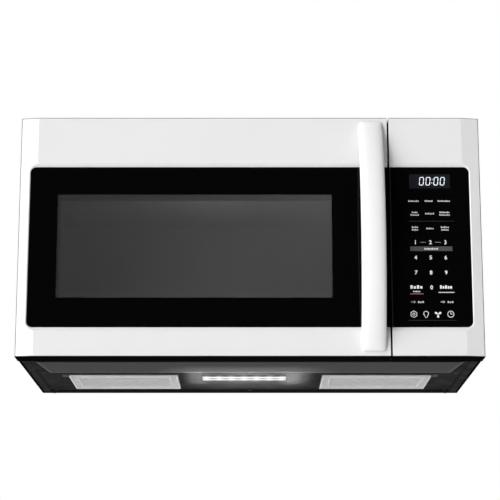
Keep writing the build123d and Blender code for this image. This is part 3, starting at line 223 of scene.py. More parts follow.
def hypotenuse(owner, a, b):
    return maths(owner, "SQRT", plus(owner, times(owner, a, a), times(owner, b, b)))


def bell(owner, value, width):
    # exp(-(value / width)^2)
    share = maths(owner, "DIVIDE", value, width)
    return maths(owner, "EXPONENT", times(owner, times(owner, share, share), -1.0))


def ranged(owner, value, fromMin, fromMax, toMin=0.0, toMax=1.0, ease="LINEAR"):
    # the value's place in one span carried over to another, and kept inside it
    span = {"Value": value, "From Min": fromMin, "From Max": fromMax, "To Min": toMin, "To Max": toMax}
    return node(owner, "ShaderNodeMapRange", span, interpolation_type=ease).outputs[0]


def blended(owner, factor, low, high):
    # the factor from 0 to 1 runs from low to high, as a colour where either of them is one
    isColor = isinstance(low, tuple) or isinstance(high, tuple)
    ends = [(*end, 1) if isinstance(end, tuple) else end for end in (low, high)]
    mix = node(owner, "ShaderNodeMix", data_type="RGBA" if isColor else "FLOAT")
    for key, value in zip(("Factor", "A", "B"), (factor, *ends)):
        connect(owner, value, mix.inputs[key])
    return mix.outputs["Result"]


def objectPlace(owner):
    return node(owner, "ShaderNodeTexCoord").outputs["Object"]


def objectXYZ(owner):
    return node(owner, "ShaderNodeSeparateXYZ", {"Vector": objectPlace(owner)}).outputs


def noiseOf(owner, scale, detail, roughness=0.5, stretch=None):
    place = objectPlace(owner)
    if stretch:
        place = node(owner, "ShaderNodeMapping", {"Vector": place, "Scale": stretch}).outputs[0]
    inputs = {"Vector": place, "Scale": scale, "Detail": detail, "Roughness": roughness}
    return node(owner, "ShaderNodeTexNoise", inputs).outputs["Fac"]


# Materials

noiseSpan = (0.3, 0.7)  # where nearly all of a noise lies


def newMaterial(name, color, roughness, sockets=None):
    # a Principled material; the extra values go on the shader's own sockets
    material = bpy.data.materials.new(name)
    material.use_nodes = True
    onShader(material, "Base Color", (*color, 1))
    onShader(material, "Roughness", roughness)
    for socket, value in (sockets or {}).items():
        onShader(material, socket, value)
    return material


def shaderOf(material):
    return material.node_tree.nodes["Principled BSDF"]


def onShader(material, socket, value):
    # a value or another node's output for one of the shader's sockets
    connect(material, value, shaderOf(material).inputs[socket])


def linkedTo(material, socket):
    # the output that the shader's socket has by now
    return shaderOf(material).inputs[socket].links[0].from_socket


def shaded(color, share):
    return tuple(c * share for c in color)


def varied(material, socket, factor, low, high):
    # a noise runs the socket from low to high
    if isinstance(low, tuple):
        value = blended(material, ranged(material, factor, *noiseSpan), low, high)
    else:
        value = ranged(material, factor, *noiseSpan, low, high)
    onShader(material, socket, value)


def mottled(material, color, shares, scale, detail):
    # the colour drifts between two shares of itself
    noise = noiseOf(material, scale, detail)
    varied(material, "Base Color", noise, *[shaded(color, share) for share in shares])


def worn(material, gloss, scale, detail):
    # the gloss drifts between two values of roughness
    varied(material, "Roughness", noiseOf(material, scale, detail), *gloss)


def bumped(material, height, strength, distance):
    inputs = {"Height": height, "Strength": strength, "Distance": distance * mm}
    onShader(material, "Normal", node(material, "ShaderNodeBump", inputs).outputs["Normal"])


whitePlasticLook = {
    "color": (0.80, 0.80, 0.80), "drift": 0.985, "roughness": 0.22, "gloss": (0.18, 0.27),
    "peelScale": 700, "peelDepth": 0.006,
}


def whitePlastic(paintedLightScale=1.0):
    # gloss moulded plastic: faint orange peel, and a slow drift in gloss
    look = whitePlasticLook
    # a scale over one paints light into the white: the handle's copy is lighter than the door's
    color = shaded(look["color"], paintedLightScale)
    made = newMaterial("white plastic", color, look["roughness"], {"Specular IOR Level": 0.45})
    mottled(made, color, (look["drift"], 1.0), scale=9, detail=2)
    worn(made, look["gloss"], scale=30, detail=4)
    bumped(made, noiseOf(made, scale=look["peelScale"], detail=2), strength=0.35, distance=look["peelDepth"])
    return made


facetLook = {"across": 29.5, "back": 5}  # the slanted outer end of the door and of the panel
outerEdgeShadeLook = {"color": (0.10, 0.10, 0.10), "radius": 1.5, "solidShare": 0.7}


def mouldingPlastic(name, low, high, outerSide):
    # the white plastic, with a fine grey line of painted shade along the outer front edges: its
    # distance is hypot(z - top, y - front) for the top edge and hypot(x - outer side, y - set-back
    # front) for the end, where the front recedes over the facet
    made = whitePlastic()
    made.name = name
    x, y, z = objectXYZ(made)
    half = abs(outerSide)
    setBack = low.y + facetLook["back"] * mm
    front = ranged(made, maths(made, "ABSOLUTE", x), half - facetLook["across"] * mm, half, low.y, setBack)
    top = hypotenuse(made, minus(made, z, high.z), minus(made, y, front))
    end = hypotenuse(made, minus(made, x, outerSide), minus(made, y, setBack))
    radius = outerEdgeShadeLook["radius"] * mm
    line = ranged(made, maths(made, "MINIMUM", top, end), radius, radius * outerEdgeShadeLook["solidShare"])
    # the grey line is painted shade, laid over the white's own colour
    onShader(made, "Base Color", blended(made, line, linkedTo(made, "Base Color"), outerEdgeShadeLook["color"]))
    return made


glassLook = {
    "color": (0.0015, 0.0015, 0.0018), "roughness": 0.035, "gloss": (0.025, 0.065),
    # over the window the colour runs from the smoked tint at the lower left to painted light at the upper
    # right
    "windowLow": (0.038, 0.0368, 0.037), "windowPaintedLight": (0.092, 0.089, 0.0895), "haze": 0.55,
    "across": 0.62, "up": 0.38, "power": 2.0, "overlap": 5, "edge": 0.25,
    "paleEdge": (0.042, 0.042, 0.044), "paleEdgeInset": 0.9, "paleEdgeWidth": 0.9,
}


def blackGlass():
    # back-painted black glass: nearly flawless, with faint wipe marks in its gloss
    look = glassLook
    sockets = {"IOR": 1.45, "Specular IOR Level": 0.2}
    made = newMaterial("black glass", look["color"], look["roughness"], sockets)
    wipes = noiseOf(made, scale=14, detail=5, roughness=0.6, stretch=(1.0, 1.0, 3.0))
    varied(made, "Roughness", wipes, *look["gloss"])
    return made


def doorGlass():
    # the same glass, with the paint left off over the window: there it is smoked and see-through, with
    # painted light that pales it towards its upper right corner by (across * x's share + up * z's share) **
    # power
    look = glassLook
    made = blackGlass()
    made.name = "door glass with window"
    low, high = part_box("door_mesh")
    edge = look["edge"] * mm
    x, _, z = objectXYZ(made)
    within = []
    shares = []
    for value, a, b, weight in ((x, low.x, high.x, look["across"]), (z, low.z, high.z, look["up"])):
        reach = (b - a) / 2 - look["overlap"] * mm
        away = maths(made, "ABSOLUTE", minus(made, value, (a + b) / 2))
        within.append(ranged(made, away, reach + edge, reach - edge))
        shares.append(ranged(made, value, a, b, 0.0, weight))
    # painted light: the window's colour pales towards its upper right corner
    paintedLight = maths(made, "POWER", plus(made, *shares), look["power"])
    inside = times(made, *within)
    tintAndPaintedLight = blended(made, paintedLight, look["windowLow"], look["windowPaintedLight"])
    onShader(made, "Base Color", blended(made, inside, look["color"], tintAndPaintedLight))
    onShader(made, "Alpha", ranged(made, inside, 0.0, 1.0, 1.0, look["haze"]))
    return made


def panelGlass():
    # the same glass, with a faint paler line along its edge beside the door
    look = glassLook
    made = blackGlass()
    made.name = "panel glass"
    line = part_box("control_glass")[0].x + look["paleEdgeInset"] * mm
    paleEdge = bell(made, minus(made, objectXYZ(made)["X"], line), look["paleEdgeWidth"] * mm)
    onShader(made, "Base Color", blended(made, paleEdge, look["color"], look["paleEdge"]))
    return made


steelLook = {
    "color": (0.0074, 0.0074, 0.0075), "roughness": 0.65, "shine": 0.04,
    "press": {
        "half": 353, "slant": 11.5, "front": -325.5, "rear": -220.5, "top": 1.5,
        "color": (0.043, 0.043, 0.0435), "roughness": 0.5,
        # the widths and colour of the painted highlight along the panel's rear edge and slanting ends
        "rearHighlight": 7, "endHighlight": 5, "highlightColor": (0.12, 0.12, 0.122),
    },
}


def paintedSteel(name, color, roughness, grain=1600, depth=0.02):
    # powder coat: fine pebbled bump, with slightly uneven shade and gloss
    made = newMaterial(name, color, roughness, {"Specular IOR Level": steelLook["shine"]})
    mottled(made, color, (0.86, 1.12), scale=60, detail=5)
    worn(made, (roughness - 0.06, roughness + 0.08), scale=25, detail=4)
    bumped(made, noiseOf(made, scale=grain, detail=3), strength=0.5, distance=depth)
    return made


def platePaint():
    # the case paint; over the pressed-down front panel the colour is smoother and paler, with a painted
    # highlight along its rear edge and its slanting ends: half width at y is half - slant * (y - front) /
    # (rear - front)
    made = paintedSteel("plate paint", steelLook["color"], steelLook["roughness"])
    press = steelLook["press"]
    front, rear, half, slant = [press[key] * mm for key in ("front", "rear", "half", "slant")]
    x, y, z = objectXYZ(made)
    toEnd = minus(made, ranged(made, y, front, rear, half, half - slant), maths(made, "ABSOLUTE", x))
    toRear = minus(made, rear, y)
    toFront = minus(made, y, front)
    below = minus(made, press["top"] * mm, z)
    pairs = [maths(made, "MINIMUM", *pair) for pair in ((toEnd, toRear), (toFront, below))]
    inside = maths(made, "GREATER_THAN", maths(made, "MINIMUM", *pairs), 0.0)
    # the painted highlight: a band along the panel's rear edge and slanting ends
    atEnd = maths(made, "LESS_THAN", toEnd, press["endHighlight"] * mm)
    atRear = maths(made, "LESS_THAN", toRear, press["rearHighlight"] * mm)
    line = times(made, maths(made, "MAXIMUM", atEnd, atRear), inside)
    layers = (
        (inside, "Base Color", press["color"]),
        (inside, "Roughness", press["roughness"]),
        (line, "Base Color", press["highlightColor"]),
    )
    for share, socket, value in layers:
        onShader(made, socket, blended(made, share, linkedTo(made, socket), value))
    return made


def mattBlack():
    made = newMaterial("matt black", (0.004, 0.004, 0.004), 0.8, {"Specular IOR Level": 0.0})
    worn(made, (0.7, 0.9), scale=200, detail=3)
    return made


def zincSteel(name, color):
    # galvanised sheet: metal grains of different tone, with a fine rolled texture
    made = newMaterial(name, color, 0.38, {"Metallic": 1.0})
    grains = node(made, "ShaderNodeTexVoronoi", {"Vector": objectPlace(made), "Scale": 90.0})
    tone = node(made, "ShaderNodeSeparateColor", {"Color": grains.outputs["Color"]}).outputs[0]
    onShader(made, "Base Color", blended(made, tone, shaded(color, 0.86), shaded(color, 1.1)))
    varied(made, "Roughness", tone, 0.32, 0.46)
    rolled = noiseOf(made, scale=500, detail=3, stretch=(1.0, 0.15, 0.15))
    bumped(made, rolled, strength=0.3, distance=0.01)
    return made


def enamel():
    # speckled cavity enamel
    made = newMaterial("cavity enamel", (0.42, 0.42, 0.41), 0.3, {"Specular IOR Level": 0.5})
    varied(made, "Base Color", noiseOf(made, scale=1400, detail=2), (0.38, 0.38, 0.375), (0.44, 0.44, 0.43))
    worn(made, (0.3, 0.42), scale=40, detail=3)
    bumped(made, noiseOf(made, scale=300, detail=2), strength=0.12, distance=0.01)
    return made


def aluminium(name, paintedLightScale):
    # soft bright aluminium with a drawn grain, darkened as painted shade where it lies behind other layers
    made = newMaterial(name, (0.9 * paintedLightScale,) * 3, 0.45, {"Metallic": 0.35})
    grain = noiseOf(made, scale=900, detail=4, roughness=0.6, stretch=(0.08, 1.0, 1.0))
    varied(made, "Base Color", grain, (0.84 * paintedLightScale,) * 3, (0.93 * paintedLightScale,) * 3)
    worn(made, (0.4, 0.52), scale=200, detail=3)
    bumped(made, grain, strength=0.25, distance=0.01)
    return made


def mouldedPlastic(name, color, roughness, grain=1100, depth=0.012):
    # a matt or satin moulding: fine even grain, with slightly uneven shade and gloss
    made = newMaterial(name, color, roughness)
    mottled(made, color, (0.9, 1.0), scale=50, detail=4)
    worn(made, (roughness - 0.05, roughness + 0.08), scale=90, detail=3)
    bumped(made, noiseOf(made, scale=grain, detail=3), strength=0.4, distance=depth)
    return made


screenLook = {"color": (0.016, 0.016, 0.017), "across": 1.7, "up": 1.47, "holeRadius": 0.62}


def screenSteel():
    # blackened sheet with a staggered field of round holes, placed by the piece's own x and z: every
    # second row is shifted by half a column
    made = newMaterial("door screen", screenLook["color"], 0.45)
    across, up, radius = [screenLook[key] * mm for key in ("across", "up", "holeRadius")]
    x, _, z = objectXYZ(made)
    row = maths(made, "DIVIDE", z, up)
    shift = times(made, maths(made, "MODULO", maths(made, "FLOOR", row), 2.0), 0.5)
    column = plus(made, maths(made, "DIVIDE", x, across), maths(made, "ABSOLUTE", shift))
    offsets = []
    for count, pitch in ((column, across), (row, up)):
        offsets.append(times(made, minus(made, maths(made, "FRACT", count), 0.5), pitch))
    onShader(made, "Alpha", maths(made, "GREATER_THAN", hypotenuse(made, *offsets), radius))
    worn(made, (0.4, 0.55), scale=120, detail=3)
    return made


def clearGlass():
    sockets = {"Transmission Weight": 1.0, "IOR": 1.47}
    made = newMaterial("clear glass", (0.93, 0.96, 0.95), 0.03, sockets)
    worn(made, (0.02, 0.06), scale=35, detail=4)
    return made


lensLook = {
    "color": (0.0006, 0.0006, 0.0006), "glow": (1.0, 0.99, 0.975, 1), "strength": 1.1,
    "lines": ((-8.5, 1.0), (13.5, 0.78)), "lineWidth": 5.0,
    "pitch": 21.8, "spotWidth": 5.5, "spotShare": 0.4, "rest": 0.22,
    "dark": -23.0, "lit": -14.0, "dim": 0.3,
}


def lampLens():
    # frosted cover, lit from behind: two glowing lines along it, each a bell across y, over an even
    # rest that is brighter at each diode by a bell along x; the front edge stays dim
    look = lensLook
    made = newMaterial("lamp lens", look["color"], 0.35, {"IOR": 1.45, "Emission Color": look["glow"]})
    low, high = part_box("cooktop_lamp_lens")
    x, y, _ = objectXYZ(made)
    x = minus(made, x, (low.x + high.x) / 2)
    y = minus(made, y, (low.y + high.y) / 2)
    pitch = look["pitch"] * mm
    nearest = times(made, maths(made, "ROUND", maths(made, "DIVIDE", x, pitch)), pitch)
    atDiode = bell(made, minus(made, x, nearest), look["spotWidth"] * mm)
    rest = plus(made, times(made, atDiode, look["spotShare"]), look["rest"])
    lines = []
    for place, share in look["lines"]:
        lines.append(times(made, bell(made, minus(made, y, place * mm), look["lineWidth"] * mm), share))
    total = plus(made, rest, times(made, plus(made, *lines), minus(made, 1.0, rest)))
    lit = ranged(made, y, look["dark"] * mm, look["lit"] * mm, look["dim"], look["strength"])
    onShader(made, "Emission Strength", times(made, total, lit))
    bumped(made, noiseOf(made, scale=800, detail=2), strength=0.5, distance=0.03)
    worn(made, (0.3, 0.42), scale=70, detail=3)
    return made


def glowing(name, color, strength):
    sockets = {"Emission Color": (*color, 1), "Emission Strength": strength}
    made = newMaterial(name, (0.8, 0.8, 0.8), 0.4, sockets)
    worn(made, (0.35, 0.45), scale=300, detail=2)
    return made


def circuitBoard():
    # green mask over fine tracks: square cells of Object coordinates, paler where a track runs
    made = newMaterial("circuit board", (0.03, 0.12, 0.05), 0.35)
    inputs = {
        "Vector": objectPlace(made), "Scale": 260.0, "Mortar Size": 0.08,
        "Color1": (0.02, 0.10, 0.045, 1), "Color2": (0.03, 0.14, 0.06, 1), "Mortar": (0.08, 0.26, 0.11, 1),
    }
    onShader(made, "Base Color", node(made, "ShaderNodeTexBrick", inputs).outputs["Color"])
    worn(made, (0.3, 0.42), scale=200, detail=2)
    return made


def printInk(name, color):
    made = newMaterial(name, color, 0.5)
    mottled(made, color, (0.93, 1.0), scale=1500, detail=2)
    return made


# each finish: what makes it, and its name, colour, roughness, grain and depth of grain as needed
finishes = {
    "white_plastic": (whitePlastic,),
    "black_glass": (blackGlass,),
    "clear_glass": (clearGlass,),
    "case_steel": (paintedSteel, "case steel", steelLook["color"], steelLook["roughness"]),
    "core_steel": (paintedSteel, "core steel", (0.12, 0.11, 0.105), 0.5, 400, 0.05),
    "catch_steel": (paintedSteel, "catch paint", (0.07, 0.07, 0.07), 0.5),
    "zinc_steel": (zincSteel, "zinc steel", (0.55, 0.56, 0.57)),
    "screw_steel": (zincSteel, "screw steel", (0.6, 0.6, 0.61)),
    "black_screw": (zincSteel, "black screw", (0.035, 0.035, 0.037)),
    "screen_steel": (screenSteel,),
    "cavity_enamel": (enamel,),
    "filter_aluminium": (aluminium, "filter aluminium", 1.0),
    "charcoal": (mouldedPlastic, "charcoal", (0.02, 0.02, 0.02), 0.9, 300, 0.6),
    "rubber": (mouldedPlastic, "rubber", (0.025, 0.025, 0.026), 0.75, 900, 0.03),
    "black_plastic": (mouldedPlastic, "black plastic", (0.012, 0.012, 0.013), 0.42),
    "pale_plastic": (mouldedPlastic, "pale plastic", (0.7, 0.69, 0.65), 0.45),
    "mica": (mouldedPlastic, "mica", (0.5, 0.44, 0.35), 0.55, 220, 0.03),
    "ceramic": (mouldedPlastic, "ceramic", (0.85, 0.84, 0.8), 0.3),
    "copper": (mouldedPlastic, "varnished copper", (0.42, 0.17, 0.07), 0.3, 1500, 0.08),
    "matt_black": (mattBlack,),
    "circuit_board": (circuitBoard,),
    "lamp_lens": (lampLens,),
    "display": (newMaterial, "display", (0.01, 0.012, 0.015), 0.25),
}
finishMade = {}


def finish(name):
    # a finish is made when it is first asked for
    if name not in finishMade:
        make, *look = finishes[name]
        finishMade[name] = make(*look)
    return finishMade[name]


for name, obj in frame["nodes"].items():
    obj.data.materials.clear()
    obj.data.materials.append(finish(slotOf[name]))
print("finishes made:", len(finishMade))


# Sheet metal and mouldings: the CAD shape with eased edges

skinLook = {"merge": 0.004, "flatten": 0.6, "smoothAngle": 30, "segments": 2, "largeFace": 300}
# how wide the edges of each piece are eased, in mm
easedNodes = {
    "door_frame": 0.7,
    "control_panel_frame": 0.7,
    "outer_case": 0.4,
    "rear_panel": 0.3,
    "base_plate": 1.0,
    "front_frame": 0.3,
    "oven_cavity": 0.4,
    "vent_grille": 0.4,
    "door_choke_frame": 0.3,
    "choke_cover": 0.4,
    "door_inner_window": 0.3,
    "door_glass": 0.4,
    "control_glass": 0.4,
    "glass_turntable": 0.8,
    "turntable_coupler": 0.5,
    "roller_ring": 0.6,
    "roller_1": 0.6,
    "roller_2": 0.6,
    "roller_3": 0.6,
    "hinge_brackets": 0.4,
    "cooktop_lamp_lens": 0.4,
    "latch_hooks": 0.3,
    "interlock_bracket": 0.4,
    "top_brackets": 0.4,
    "cord_bushing": 0.5,
    "waveguide_cover": 0.2,
}
# these stay flat beside their eased edges
flatFaced = (
    "door_frame", "control_panel_frame", "outer_case", "rear_panel", "base_plate", "front_frame",
    "oven_cavity", "vent_grille", "door_choke_frame", "choke_cover", "door_inner_window", "door_glass",
    "control_glass", "hinge_brackets",
)


def cleanNode(nodeName, width):
    # the CAD node's own shape as a merged mesh: flat faces whole again, edges eased by the width
    look = skinLook
    work = bmesh.new()
    work.from_mesh(frame["nodes"][nodeName].data)
    bmesh.ops.remove_doubles(work, verts=work.verts, dist=look["merge"] * mm)
    bmesh.ops.dissolve_degenerate(work, edges=work.edges, dist=look["merge"] * mm)
    flat = math.radians(look["flatten"])
    bmesh.ops.dissolve_limit(work, angle_limit=flat, verts=work.verts, edges=work.edges)
    markSmooth(work, look["smoothAngle"], look["largeFace"] if nodeName in flatFaced else None)
    mesh = bpy.data.meshes.new(nodeName + "_skin")
    work.to_mesh(mesh)
    work.free()
    piece = addPiece(mesh, bodyOf[nodeName], finish(slotOf[nodeName]))
    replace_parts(piece, nodeName)
    ease = piece.modifiers.new("eased edges", "BEVEL")
    ease.width = width * mm
    ease.segments = look["segments"]
    ease.limit_method = "ANGLE"
    ease.angle_limit = math.radians(look["smoothAngle"])
    ease.harden_normals = False
    return piece


skins = {name: cleanNode(name, width) for name, width in easedNodes.items()}
skins["door_glass"].data.materials[0] = doorGlass()
skins["control_glass"].data.materials[0] = panelGlass()
skins["base_plate"].data.materials[0] = platePaint()
for name in ("door_frame", "control_panel_frame"):
    low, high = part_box(name)
    outerSide = low.x if name == "door_frame" else high.x
    skins[name].data.materials[0] = mouldingPlastic(name + " plastic", low, high, outerSide)
print("skins made:", len(skins))


# Door handle

handleLook = {
    "endStand": 4.5, "thickness": 15, "crown": 7.5, "leastCrown": 0.3, "corner": 7, "edge": 3,
    "leastSide": 0.2, "endEase": 3.0, "fullness": 2.3, "faceGap": 1.6, "sweep": 0.999, "paintedLightScale": 1.12,
    "steps": 120, "frontSteps": 33, "edgeSteps": 6, "smoothAngle": 60,
}


def quarterCircle(radius, depth):
    # how high a quarter circle stands at a depth from its start; past the radius it stays level
    cut = np.clip(radius - depth, 0, radius)
    return np.sqrt(radius ** 2 - cut ** 2)


def handlePiece():
    # the bar's outer line is an arc from end to end; at each height the section is a crowned front,
    # y = outer + crown * (1 - (1 - (x / half) ** p) ** (1 / p)), straight sides and a flat back with
    # eased edges, kept in front of the door's face; the half width and the stand shrink on quarter
    # circles at the two ends
    look = handleLook
    low, high = [np.array(corner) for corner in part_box("door_handle")]
    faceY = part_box("door_frame")[0].y
    middle = (low + high) / 2
    half, _, chord = (high - low) / 2
    rise = (faceY - low[1]) - look["endStand"] * mm
    outer = (chord ** 2 + rise ** 2) / (2 * rise)
    inner = outer - look["thickness"] * mm
    centreY = low[1] + outer
    sweep = math.pi * look["sweep"]
    z = chord * np.sin((np.linspace(0, 1, look["steps"]) - 0.5) * sweep) / math.sin(sweep / 2)
    fromEnd = chord - np.abs(z)
    corner, ease = look["corner"] * mm, look["endEase"] * mm
    width = half - corner + quarterCircle(corner, fromEnd)
    outerY = centreY - np.sqrt(outer ** 2 - z ** 2) + ease - quarterCircle(ease, fromEnd)
    innerY = np.minimum(centreY - np.sqrt(inner ** 2 - z ** 2), faceY)
    crown = np.minimum(look["crown"] * mm, faceY - look["faceGap"] * mm - outerY)
    crown = np.maximum(crown, look["leastCrown"] * mm)
    a = np.linspace(0, math.pi, look["frontSteps"])
    across = np.sign(np.cos(a)) * np.abs(np.cos(a)) ** (2 / look["fullness"])
    bulge = np.sin(a) ** (2 / look["fullness"])
    frontX = width[:, None] * across
    frontY = outerY[:, None] + crown[:, None] * (1 - bulge)
    side = np.maximum(innerY - outerY - crown, look["leastSide"] * mm)
    edge = np.minimum(look["edge"] * mm, side / 2)
    b = np.linspace(0, math.pi / 2, look["edgeSteps"])
    cornerX = (width - edge)[:, None] + edge[:, None] * np.cos(b)
    cornerY = (innerY - edge)[:, None] + edge[:, None] * np.sin(b)
    x = middle[0] + np.concatenate([frontX, -cornerX, cornerX[:, ::-1]], 1)
    y = np.concatenate([frontY, cornerY, cornerY[:, ::-1]], 1)
    rings = np.stack([x, y, np.broadcast_to((middle[2] + z)[:, None], x.shape)], 2)
    mesh = loftedMesh("door_handle_bar", rings, look["smoothAngle"])
    # the handle's white is a lighter copy of the door's: painted light
    piece = addPiece(mesh, "door", whitePlastic(look["paintedLightScale"]))
    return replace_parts(piece, "door_handle")


handlePiece()
print("handle made")


# Black strips under the door and the control panel, between them and round the case

trimLook = {"thickness": 0.8}
seamLook = {"thickness": 0.4, "fromFront": 0.4, "fromBottom": 0.1, "fromTop": 1.8}
caseEdgeShadeLook = {"width": 3.2, "rearWidth": 1.5, "drop": 1.1, "edge": 0.4, "fromFront": 1}


def underTrim(name, nodeName, body):
    # a thin strip across the moulding's underside, cut back at its outer end as the facet is
    low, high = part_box(nodeName)
    across, back = facetLook["across"] * mm, facetLook["back"] * mm
    if body == "cabinet":
        front = [[high.x, low.y + back], [high.x - across, low.y], [low.x, low.y]]
    else:
        front = [[high.x, low.y], [low.x + across, low.y], [low.x, low.y + back]]
    outline = np.array([[low.x, high.y], [high.x, high.y], *front])
    mesh = prismMesh(name, outline, (low.z - trimLook["thickness"] * mm, low.z))
    return addPiece(mesh, body, finish("matt_black"))


def seamLining(name, nodeName, body, side):
    # a thin black lining on the moulding's wall in the gap between the door and the panel
    look = seamLook
    low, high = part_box(nodeName)
    face = low.x if side < 0 else high.x
    x0, x1 = sorted((face, face + side * look["thickness"] * mm))
    near = (x0, low.y + look["fromFront"] * mm, low.z + look["fromBottom"] * mm)
    mesh = boxMesh(name, near, (x1, high.y, high.z - look["fromTop"] * mm))
    return addPiece(mesh, body, finish("matt_black"))


def caseEdgeShade():
    # a black strip over the joint between the case and the base plate, as painted shade on its edge:
    # the section is a rectangle, carried down the left end, across the rear and up the right end
    look = caseEdgeShadeLook
    low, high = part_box("outer_case")
    outer = (high.x - look["edge"] * mm, high.y + look["edge"] * mm)
    inner = (outer[0] - look["width"] * mm, outer[1] - look["rearWidth"] * mm)
    front = low.y + look["fromFront"] * mm
    top, bottom = low.z, low.z - look["drop"] * mm
    corners = ((inner, top), (outer, top), (outer, bottom), (inner, bottom))
    rings = []
    for side, atFront in ((-1, True), (-1, False), (1, False), (1, True)):
        rings.append([(side * x, front if atFront else y, z) for (x, y), z in corners])
    mesh = loftedMesh("case_edge_painted_shade", rings)
    return addPiece(mesh, "cabinet", finish("matt_black"))


caseEdgeShade()
seamLining("door_seam_lining", "door_frame", "door", 1)
seamLining("panel_seam_lining", "control_panel_frame", "cabinet", -1)
underTrim("door_under_trim", "door_frame", "door")
underTrim("panel_under_trim", "control_panel_frame", "cabinet")
print("trims made")


# Print and display on the control panel's glass: places and sizes in mm

printLook = {
    "thickness": 0.06,
    "colors": {
        "white": (0.9, 0.9, 0.9),
        "grey": (0.62, 0.62, 0.62),
        "faint": (0.065, 0.065, 0.065),
        "dim": (0.03, 0.03, 0.03),
        "red": (0.36, 0.11, 0.14),
    },
    # for each stroke of a word, against the tall ones and the space for one letter
    "stroke": {"short": 0.74, "place": 0.42, "width": 0.72, "ease": 0.25},
    "keyColumns": (270.5, 295.0, 319.5),
    "topColumns": (269.0, 293.9, 318.8),
    "lineStep": 4.4,
    "letterHeight": 2.7,
    # columns, z, and for each key the width and letters of each of its lines
    "keyRows": (
        ("topColumns", 258.6, (((17.7, 7),), ((13.3, 6),), ((21, 8),))),
        ("keyColumns", 237.2, (((10, 4), (14, 6)), ((15, 6),), ((17, 7), (17.7, 7)))),
        ("keyColumns", 212.1, (((11, 4), (11, 4)), ((12.5, 5),), ((14, 5), (12.5, 5)))),
    ),
    "numberRows": ((188.8, "123"), (163.2, "456"), (138.1, "789")),
    "digitHeight": 6.5,
    "font": {"digitShare": 0.72, "bolder": 0.03},  # against the font's size and the figure's height
    # colour, text, x, z, height
    "figures": (
        ("white", "0", 295.3, 113.4, 6.5),
        ("grey", "+10", 264.5, 89.2, 3.3),
        ("grey", "+30", 312.5, 89.2, 3.3),
    ),
    # colour, x, z, width, letters, height of the tall strokes, layer
    "words": (
        ("white", 296.2, 177.9, 23.0, 9, 2.8, 2),
        ("white", 270.9, 114.0, 21.0, 4, 5.6, 1),
        ("white", 318.9, 114.0, 20.5, 5, 5.6, 1),
        ("white", 270.9, 106.6, 12.0, 5, 2.2, 1),
        ("grey", 277.5, 89.0, 10.5, 3, 3.0, 1),
        ("grey", 325.5, 89.0, 10.5, 3, 3.0, 1),
    ),
    # colour, x, z, width, height, ease of the corners
    "bars": (
        ("grey", 282.75, 188.8, 9.6, 0.45, 0.2),
        ("grey", 307.25, 188.8, 9.6, 0.45, 0.2),
        ("faint", 296.2, 177.9, 69.0, 7.6, 0.4),
        ("grey", 319.1, 105.0, 26.0, 1.5, 0.5),
        ("dim", 297.2, 224.4, 74.5, 0.5, 0.2),
        ("dim", 295.4, 58.9, 78.0, 0.5, 0.2),
        ("white", 283.2, 65.4, 0.85, 2.2, 0.3),
        ("white", 287.2, 65.4, 0.85, 2.2, 0.3),
        ("white", 285.2, 63.7, 3.2, 0.95, 0.3),
        ("white", 325.2, 70.7, 0.85, 3.9, 0.3),
        ("white", 326.8, 69.0, 3.3, 0.85, 0.3),
    ),
    "dashes": {"x": 261.3, "z": 102.6, "count": 7, "pitch": 3.2, "size": (2.5, 1.7), "ease": 0.3},
    # rings of the four signs, a hexagon and its hole, a lamp, a fan's hub and a clock: x, z, radius,
    # line, sides, then a turn, and the angles at which an open one starts and ends
    "rings": (
        (265.4, 69.0, 5.9, 0.95, 6, math.pi / 6),
        (265.4, 69.0, 2.3, 0.8, 20),
        (285.2, 69.9, 4.3, 0.85, 28, 0.0, -0.95, math.pi + 0.95),
        (304.6, 69.0, 1.3, 0.7, 16),
        (325.2, 69.0, 5.5, 0.95, 32),
    ),
    "fan": {"x": 304.6, "z": 69.0, "blades": 3, "hub": 1.3, "length": 4.7, "half": 1.75, "fullness": 0.8},
}
printParts = {kind: [] for kind in printLook["colors"]}
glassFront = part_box("control_glass")[0].y
inkFront = glassFront - printLook["thickness"] * mm


def inked(kind, outline, layer=1):
    # an outline in x and z, raised from the glass by the print's thickness or by some layers of it
    front = glassFront - printLook["thickness"] * layer * mm
    printParts[kind].append(prismMesh("ink", outline, (front, glassFront), "y"))


def inkBar(kind, x, z, width, height, ease, layer=1):
    # a bar about its middle, with rounded corners
    ease = min(ease, height * 0.45, width * 0.45)
    sides = (x - width / 2, x + width / 2, z - height / 2, z + height / 2)
    inked(kind, roundedOutline(*[side * mm for side in sides], ease * mm, 3), layer)


def inkWord(kind, x, z, width, letters, tall, layer=1):
    # stands for a printed word: a row of short upright strokes, some of them taller
    stroke = printLook["stroke"]
    pitch = width / letters
    for n in range(letters):
        left = x - width / 2 + n * pitch
        height = tall if n == 0 or n % 3 == 2 else tall * stroke["short"]
        place = (left + pitch * stroke["place"], z - (tall - height) / 2)
        inkBar(kind, *place, pitch * stroke["width"], height, stroke["ease"], layer)


def inkRing(x, z, radius, line, sides, turn=0.0, start=0.0, end=2 * math.pi):
    # a band between two radii: points at each radius times (cos, sin), front and back
    full = end - start > 2 * math.pi - 1e-6
    count = sides if full else sides + 1
    a = np.linspace(start, end, sides + 1)[:count] + turn
    inner = radius - line
    rings = []
    for r, depth in ((radius, glassFront), (radius, inkFront), (inner, inkFront), (inner, glassFront)):
        rings.append(ringAt(np.stack([x + r * np.cos(a), z + r * np.sin(a)], 1) * mm, depth, "y"))
    faces = gridFaces(4, count, True, full)
    if not full:
        faces.append([k * count for k in range(4)])
        faces.append([k * count + count - 1 for k in range(4)][::-1])
    printParts["white"].append(outward(meshOf("ink", np.concatenate(rings), faces)))


